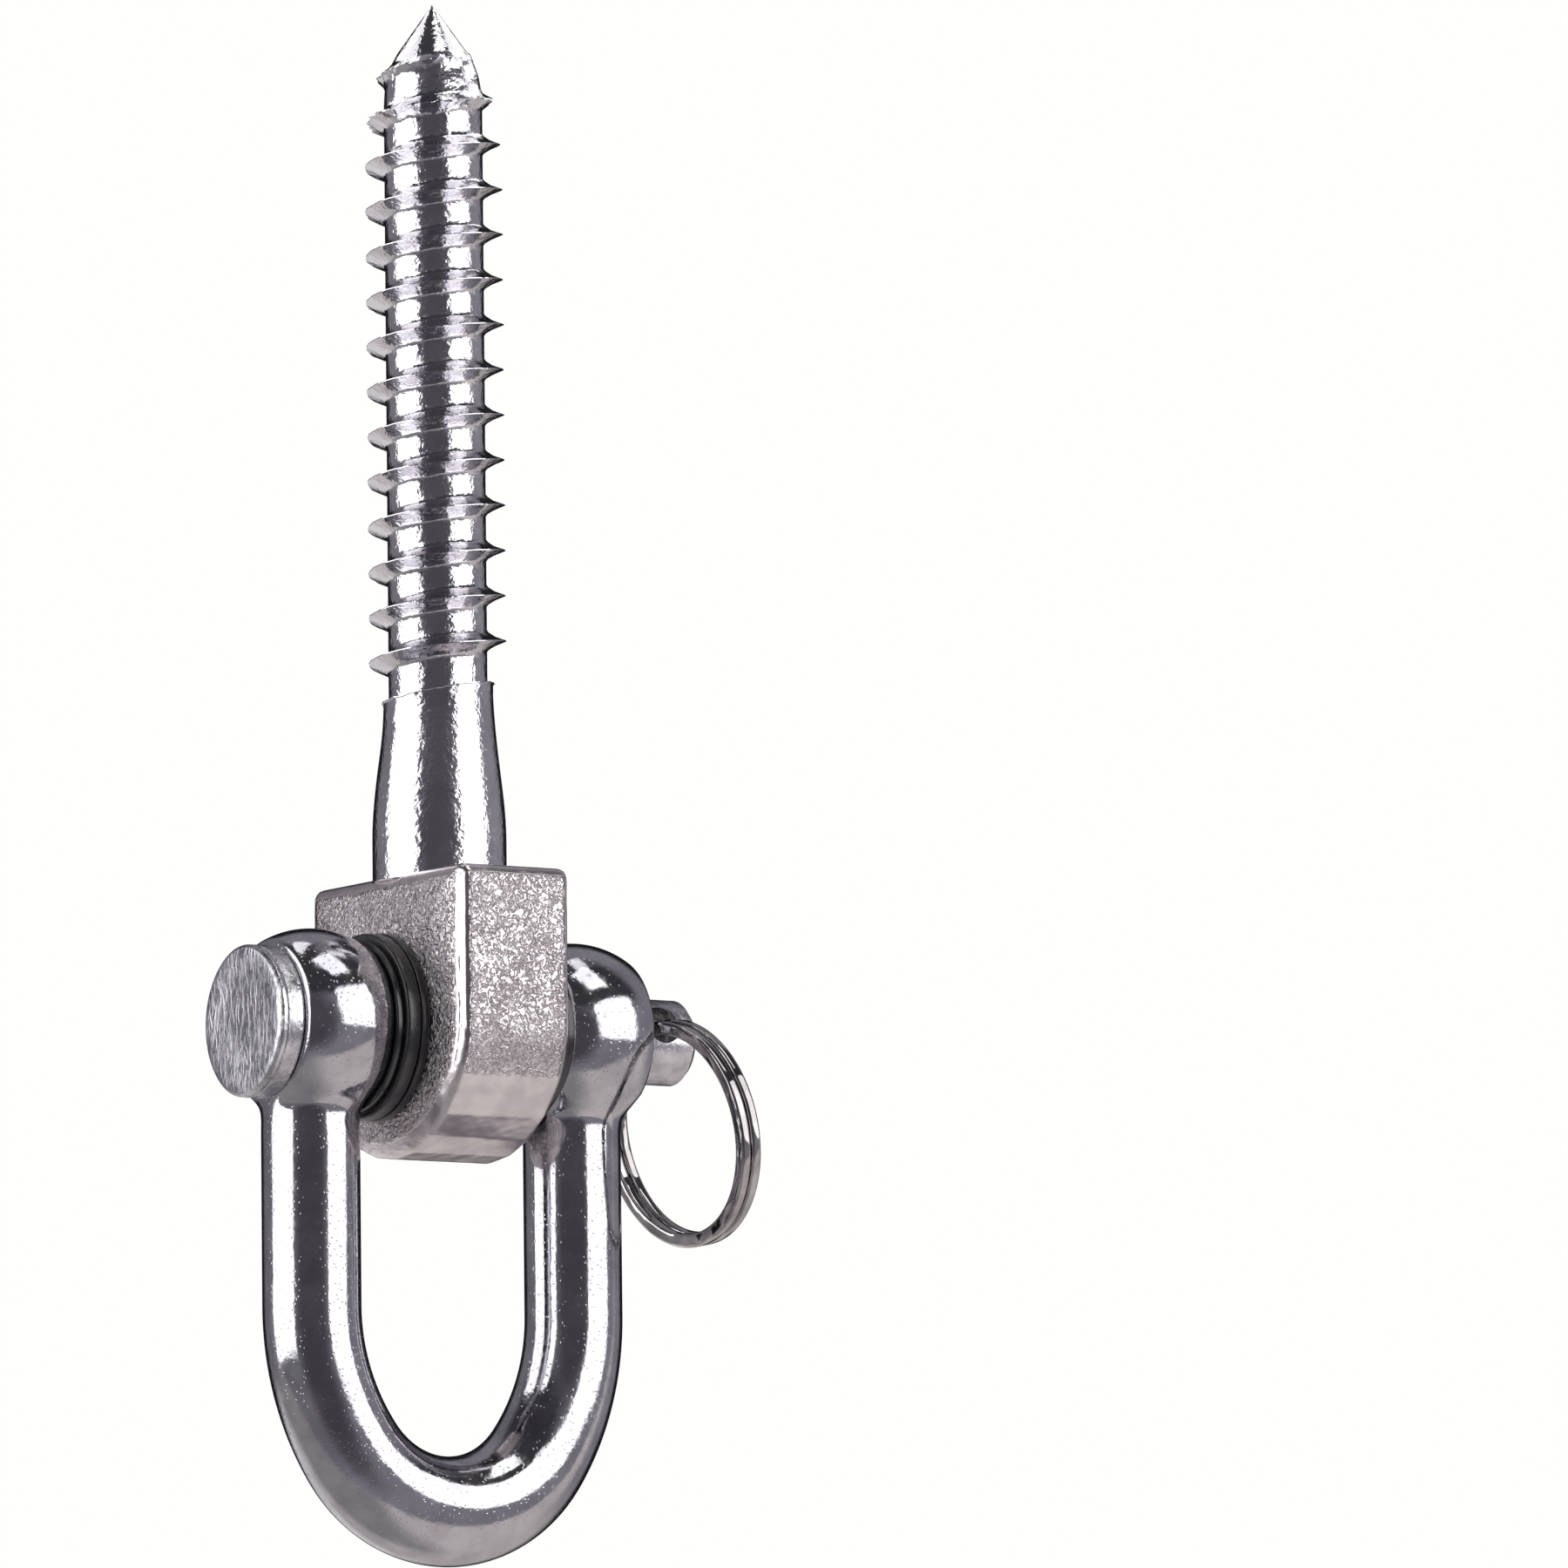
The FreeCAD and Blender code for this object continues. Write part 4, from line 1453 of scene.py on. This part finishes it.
@dataclass
class SplitRing:
    """The two-turn ring of flat wire in the pin's cross hole."""

    outer: float = 10.64
    wire: float = 1.31
    corner: float = 0.34
    corner_steps: int = 5
    layer: float = 1.06
    slit: float = 0.14
    turns: float = 1.93
    jog: float = 42.0
    sag: float = 0.4
    lean: float = 12.0
    facets: int = 120
    clasp_bearing: float = 200.0

    def build(self) -> bpy.types.Object:
        """Model the ring: one flat turn, a jog, and a second turn on top of it.

        Returns:
            The ring, in millimetres.
        """
        shape = bmesh.new()
        inner, edge = self.outer - self.wire, self.corner
        reach = self.layer / 2 - edge
        middles = ((self.outer - edge, reach), (inner + edge, reach), (inner + edge, -reach),
                   (self.outer - edge, -reach))
        section = [point for quarter, middle in enumerate(middles)
                   for point in arc_points(middle, edge, 90 * quarter, 90 * (quarter + 1),
                                           self.corner_steps)]
        face = shape.faces.new([shape.verts.new((across, 0.0, up)) for across, up in section])
        steps = round(self.facets * self.turns)
        tag = 100.0                     # lifts each step of the spin, to tell the steps apart
        bmesh.ops.spin(shape, geom=[face], cent=(0, 0, 0), axis=(0, 0, 1),
                       dvec=(0, 0, tag), angle=math.tau * self.turns, steps=steps,
                       use_merge=False)
        for vert in shape.verts:
            step = round(vert.co.z / tag)
            vert.co.z += self._layer_height(360.0 * self.turns * step / steps) - step * tag
        bmesh.ops.remove_doubles(shape, verts=shape.verts, dist=WELD)
        bmesh.ops.recalc_face_normals(shape, faces=shape.faces)
        bmesh.ops.transform(shape, matrix=self._hang(), verts=shape.verts)
        return to_object(shape, "split_ring_bright")

    def _layer_height(self, angle: float) -> float:
        """Height of the wire's middle after it has turned so many degrees."""
        rise = smooth_step((angle - (360.0 - self.jog)) / self.jog)
        return (self.layer + self.slit) * (rise - 0.5)

    def _hang(self) -> Matrix:
        """Find where the ring hangs at rest, threaded through the pin's hole.

        Returns:
            The move from a ring flat at the origin.
        """
        hole = joint_place("ring_swing")
        along = Vector((1, 0, 0))
        down = along.cross(Vector(joint_named("ring_swing")["axis"])).normalized()
        tilt = math.radians(self.lean)
        hang = along * math.sin(tilt) + down * math.cos(tilt)
        normal = along * math.cos(tilt) - down * math.sin(tilt)
        middle = self.outer - self.wire / 2 - self.sag
        basis = Matrix((hang, normal.cross(hang), normal)).transposed().to_4x4()
        clasp = Matrix.Rotation(math.radians(self.clasp_bearing), 4, "Z")
        return Matrix.Translation(hole + hang * middle) @ basis @ clasp


# ---------------------------------------------------------------- studio


@dataclass(frozen=True)
class Softbox:
    """A flat light, placed by its bearing from the camera as seen from the hanger."""

    name: str
    bearing: float
    elevation: float
    width: float
    height: float
    radiance: float
    distance: float = 0.6
    above: float = 0.0

    def build(self, pivot: Vector, camera_bearing: float) -> None:
        """Set the light up.

        Args:
            pivot: The hanger's pivot, in metres; the light faces a place above it.
            camera_bearing: The camera's own bearing, in degrees.
        """
        target = pivot + Vector((0, 0, self.above))
        turn, lift = math.radians(camera_bearing + self.bearing), math.radians(self.elevation)
        towards = Vector((math.sin(turn) * math.cos(lift), -math.cos(turn) * math.cos(lift),
                          math.sin(lift)))
        lamp = bpy.data.lights.new(self.name, "AREA")
        lamp.shape = "RECTANGLE"
        lamp.size = 2 * self.distance * math.tan(math.radians(self.width) / 2)
        lamp.size_y = 2 * self.distance * math.tan(math.radians(self.height) / 2)
        lamp.energy = self.radiance * math.pi * lamp.size * lamp.size_y
        stand = bpy.data.objects.new(self.name, lamp)
        stand.location = target + towards * self.distance
        stand.rotation_euler = towards.to_track_quat("Z", "Y").to_euler()
        stand.visible_camera = False
        bpy.context.scene.collection.objects.link(stand)


@dataclass(frozen=True)
class Band:
    """Where something fades in: from none at start to all at full."""

    start: float
    full: float


@dataclass(frozen=True)
class Room:
    """The room round the hanger, which shows only in the steel.

    Bands run over how far a direction points right of the camera's view, along it (behind the
    hanger) or up.
    """

    wall_right: Colour = (0.26, 0.25, 0.28)
    wall_left: Colour = (0.20, 0.193, 0.213)
    wall_behind: Colour = (0.012, 0.012, 0.014)
    wall_camera: Colour = (0.085, 0.08, 0.09)
    ceiling: Colour = (0.05, 0.05, 0.055)
    ground_left: Colour = (0.30, 0.29, 0.295)
    ground_right: Colour = (0.62, 0.58, 0.57)
    ground_behind: Colour = (0.56, 0.525, 0.515)
    table_left: Colour = (0.75, 0.73, 0.74)
    backdrop: Colour = (1.0, 1.0, 0.985)
    left: Band = Band(-0.15, -0.45)
    behind: Band = Band(0.68, 0.84)
    camera: Band = Band(-0.70, -0.93)
    overhead: Band = Band(0.42, 0.6)
    overhead_front: Band = Band(0.45, 0.15)
    ground_rightward: Band = Band(0.0, 0.45)
    ground_depth: Band = Band(-0.2, -0.5)
    ground_rear: Band = Band(0.2, 0.5)
    ground_slope: float = -0.8
    horizon: Band = Band(-0.12, -0.24)
    table_top: Band = Band(-0.10, -0.26)
    table_bottom: Band = Band(-0.62, -0.46)
    table_rear: Band = Band(0.3, 0.7)
    table_side: Band = Band(0.0, -0.22)

    def build(self, scene: bpy.types.Scene, right: Vector, forward: Vector) -> None:
        """Light the scene with the room.

        Args:
            scene: The scene.
            right: The direction to the right of the camera's view.
            forward: The direction that the camera looks in.
        """
        world = bpy.data.worlds.new("room")
        world.use_nodes = True
        scene.world = world
        graph = NodeWriter(world.node_tree, "Generated")
        split = graph.nodes.new("ShaderNodeSeparateXYZ")
        graph.links.new(graph.place, split.inputs["Vector"])
        height = split.outputs["Z"]
        rightward, behind = (self._along(graph, way) for way in (right, forward))
        walls = self._walls(graph, height, rightward, behind)
        ground = self._ground(graph, walls, height, rightward, behind)
        sloped = graph.add_share(height, behind, self.ground_slope)
        room = graph.blend(self._fade(graph, sloped, self.horizon), walls, ground)
        room = graph.blend(self._table(graph, height, rightward, behind), room, self.table_left)
        seen = graph.nodes.new("ShaderNodeLightPath").outputs["Is Camera Ray"]
        room = graph.blend(seen, room, self.backdrop)
        graph.links.new(room, graph.nodes["Background"].inputs["Color"])

    @staticmethod
    def _along(graph: NodeWriter, way: Vector) -> bpy.types.NodeSocket:
        """How far a direction points along the level part of another."""
        level = Vector((way.x, way.y, 0.0)).normalized()
        return graph.vector_math("DOT_PRODUCT", graph.place, level).outputs["Value"]

    @staticmethod
    def _fade(graph: NodeWriter, value: bpy.types.NodeSocket, band: Band
              ) -> bpy.types.NodeSocket:
        """Fade in over a band."""
        return graph.ramp(value, band.start, band.full)

    def _walls(self, graph: NodeWriter, height: bpy.types.NodeSocket,
               rightward: bpy.types.NodeSocket, behind: bpy.types.NodeSocket
               ) -> bpy.types.NodeSocket:
        """Paint the walls and ceiling, dark behind the hanger and round the camera.

        Args:
            graph: The room's nodes.
            height: How far a direction points up.
            rightward: How far it points right of the view.
            behind: How far it points along the view.

        Returns:
            The colour.
        """
        walls = graph.blend(self._fade(graph, rightward, self.left), self.wall_right,
                            self.wall_left)
        walls = graph.blend(self._fade(graph, behind, self.behind), walls, self.wall_behind)
        walls = graph.blend(self._fade(graph, behind, self.camera), walls, self.wall_camera)
        overhead = graph.times(self._fade(graph, height, self.overhead),
                               self._fade(graph, behind, self.overhead_front))
        return graph.blend(overhead, walls, self.ceiling)

    def _ground(self, graph: NodeWriter, walls: bpy.types.NodeSocket,
                height: bpy.types.NodeSocket, rightward: bpy.types.NodeSocket,
                behind: bpy.types.NodeSocket) -> bpy.types.NodeSocket:
        """Paint the pale ground, which starts lower down behind the hanger.

        Args:
            graph: The room's nodes.
            walls: The walls' colour.
            height: How far a direction points up.
            rightward: How far it points right of the view.
            behind: How far it points along the view.

        Returns:
            The colour.
        """
        ground = graph.blend(self._fade(graph, rightward, self.ground_rightward),
                             self.ground_left, self.ground_right)
        rear = graph.blend(self._fade(graph, height, self.ground_depth), walls,
                           self.ground_behind)
        return graph.blend(self._fade(graph, behind, self.ground_rear), ground, rear)

    def _table(self, graph: NodeWriter, height: bpy.types.NodeSocket,
               rightward: bpy.types.NodeSocket, behind: bpy.types.NodeSocket
               ) -> bpy.types.NodeSocket:
        """Find the patch of pale table low on the left.

        Args:
            graph: The room's nodes.
            height: How far a direction points up.
            rightward: How far it points right of the view.
            behind: How far it points along the view.

        Returns:
            How much of the table there is, from 0 to 1.
        """
        tall = graph.times(self._fade(graph, height, self.table_top),
                           self._fade(graph, height, self.table_bottom))
        wide = graph.times(self._fade(graph, behind, self.table_rear),
                           self._fade(graph, rightward, self.table_side))
        return graph.times(tall, wide)


@dataclass
class Studio:
    """Camera, lights and pale floor, in the room that the steel reflects."""

    azimuth: float = -31.5
    elevation: float = -5.9
    roll: float = 0.53
    distance: float = 1.2
    frame_width: float = 1800.0
    scale: float = 12.44                # frame units per millimetre
    sensor: float = 36.0
    near_clip: float = 0.01
    aim_right: float = 31.64            # from the pivot to the middle of the frame, in mm
    aim_up: float = 22.83
    floor_height: float = -0.35
    floor_half: float = 3.0
    floor_glow: float = 0.5
    floor_roughness: float = 0.7
    floor_tone: Cloud = Cloud(0.004, 3.0)
    floor_light: Colour = (0.86, 0.86, 0.85)
    floor_dark: Colour = (0.82, 0.82, 0.81)
    floor_glow_tint: Colour = (1.0, 1.0, 0.99)
    room: Room = Room()
    pivot: Vector = field(default_factory=lambda: joint_place("shackle_swing") * MM)
    boxes: tuple[Softbox, ...] = (
        Softbox("softbox_right", 63.0, 17.0, 52.0, 42.0, 1.75, 0.32),
        Softbox("softbox_left", -71.0, 14.0, 60.0, 52.0, 1.8),
        Softbox("softbox_top", 56.0, 67.0, 22.0, 28.0, 1.7),
        Softbox("softbox_nose_left", -108.0, 39.0, 64.0, 50.0, 1.15, 0.035, 0.092),
        Softbox("softbox_nose_right", 122.0, 39.0, 60.0, 50.0, 1.15, 0.035, 0.092),
    )

    def build(self) -> None:
        """Set up the whole studio."""
        scene = bpy.context.scene
        scene.view_settings.view_transform = "Standard"
        self._camera(scene)
        right, _, forward = self._view_axes()
        self.room.build(scene, right, forward)
        self._floor()
        for box in self.boxes:
            box.build(self.pivot, self.azimuth)

    def _view_axes(self) -> tuple[Vector, Vector, Vector]:
        """Find the camera's directions before it is aimed beside the hanger.

        Returns:
            Right, up and forward.
        """
        turn, lift = math.radians(self.azimuth), math.radians(self.elevation)
        forward = -Vector((math.sin(turn) * math.cos(lift), -math.cos(turn) * math.cos(lift),
                           math.sin(lift)))
        right = Vector((math.cos(turn), math.sin(turn), 0.0))
        up = right.cross(forward)
        lean = math.radians(self.roll)
        return (right * math.cos(lean) - up * math.sin(lean),
                right * math.sin(lean) + up * math.cos(lean), forward)

    def _camera(self, scene: bpy.types.Scene) -> None:
        """Stand the camera at its distance and aim it beside the hanger.

        Args:
            scene: The scene that it is the camera of.
        """
        right, up, forward = self._view_axes()
        place = self.pivot - forward * self.distance
        aim = self.pivot + (right * self.aim_right + up * self.aim_up) * MM
        look = (aim - place).normalized()
        side = look.cross(up).normalized()
        basis = Matrix((side, side.cross(look), -look)).transposed().to_4x4()
        data = bpy.data.cameras.new("camera")
        data.sensor_width = self.sensor
        data.lens = self.scale * self.distance / MM / self.frame_width * self.sensor
        data.clip_start = self.near_clip
        stand = bpy.data.objects.new("camera", data)
        stand.matrix_world = Matrix.Translation(place) @ basis
        scene.collection.objects.link(stand)
        scene.camera = stand

    def _floor(self) -> None:
        """A plain pale floor, far below the hanger."""
        shape = bmesh.new()
        bmesh.ops.create_grid(shape, x_segments=1, y_segments=1, size=self.floor_half,
                              matrix=Matrix.Translation((0, 0, self.floor_height)))
        floor = to_object(shape, "floor")
        graph = ShaderGraph("floor_pale")
        for name, value in (("Roughness", self.floor_roughness),
                            ("Emission Color", (*self.floor_glow_tint, 1.0)),
                            ("Emission Strength", self.floor_glow)):
            graph.shader.inputs[name].default_value = value
        graph.feed("Base Color", graph.blend(graph.cloud(self.floor_tone), self.floor_light,
                                             self.floor_dark))
        floor.data.materials.append(graph.material)
        floor.visible_glossy = False


# ---------------------------------------------------------------- assembly


def main() -> None:
    """Build the studio and every piece of the hanger, in order."""
    logging.basicConfig(level=logging.INFO, format="%(name)s %(message)s")
    bench = Bench()
    bench.deliver(LagScrew().build(), "lag_screw", Body.HANGER, POLISHED_SCREW, crease=38.0)
    bench.deliver(PivotBlock().build(), "hanger_block", Body.HANGER, CAST_STEEL)
    for side in Side:
        for node, piece in BushStack(side).build().items():
            if node.startswith("flanged_bush"):
                bench.deliver(piece, node, Body.HANGER, BLACK_NYLON)
            elif node.startswith("spacer_ring"):
                bench.deliver(piece, node, Body.HANGER, BLACK_RUBBER)
            else:
                bench.deliver(piece, node, Body.SHACKLE, BLACK_NYLON)
    bench.deliver(Shackle().build(), "shackle", Body.SHACKLE, FORGED_STEEL)
    bench.deliver(ClevisPin().build(), "clevis_pin", Body.PIN, PIN_STEEL)
    bench.deliver(SplitRing().build(), "split_ring", Body.RING, RING_STEEL)
    Studio().build()


if __name__ == "__main__":
    main()
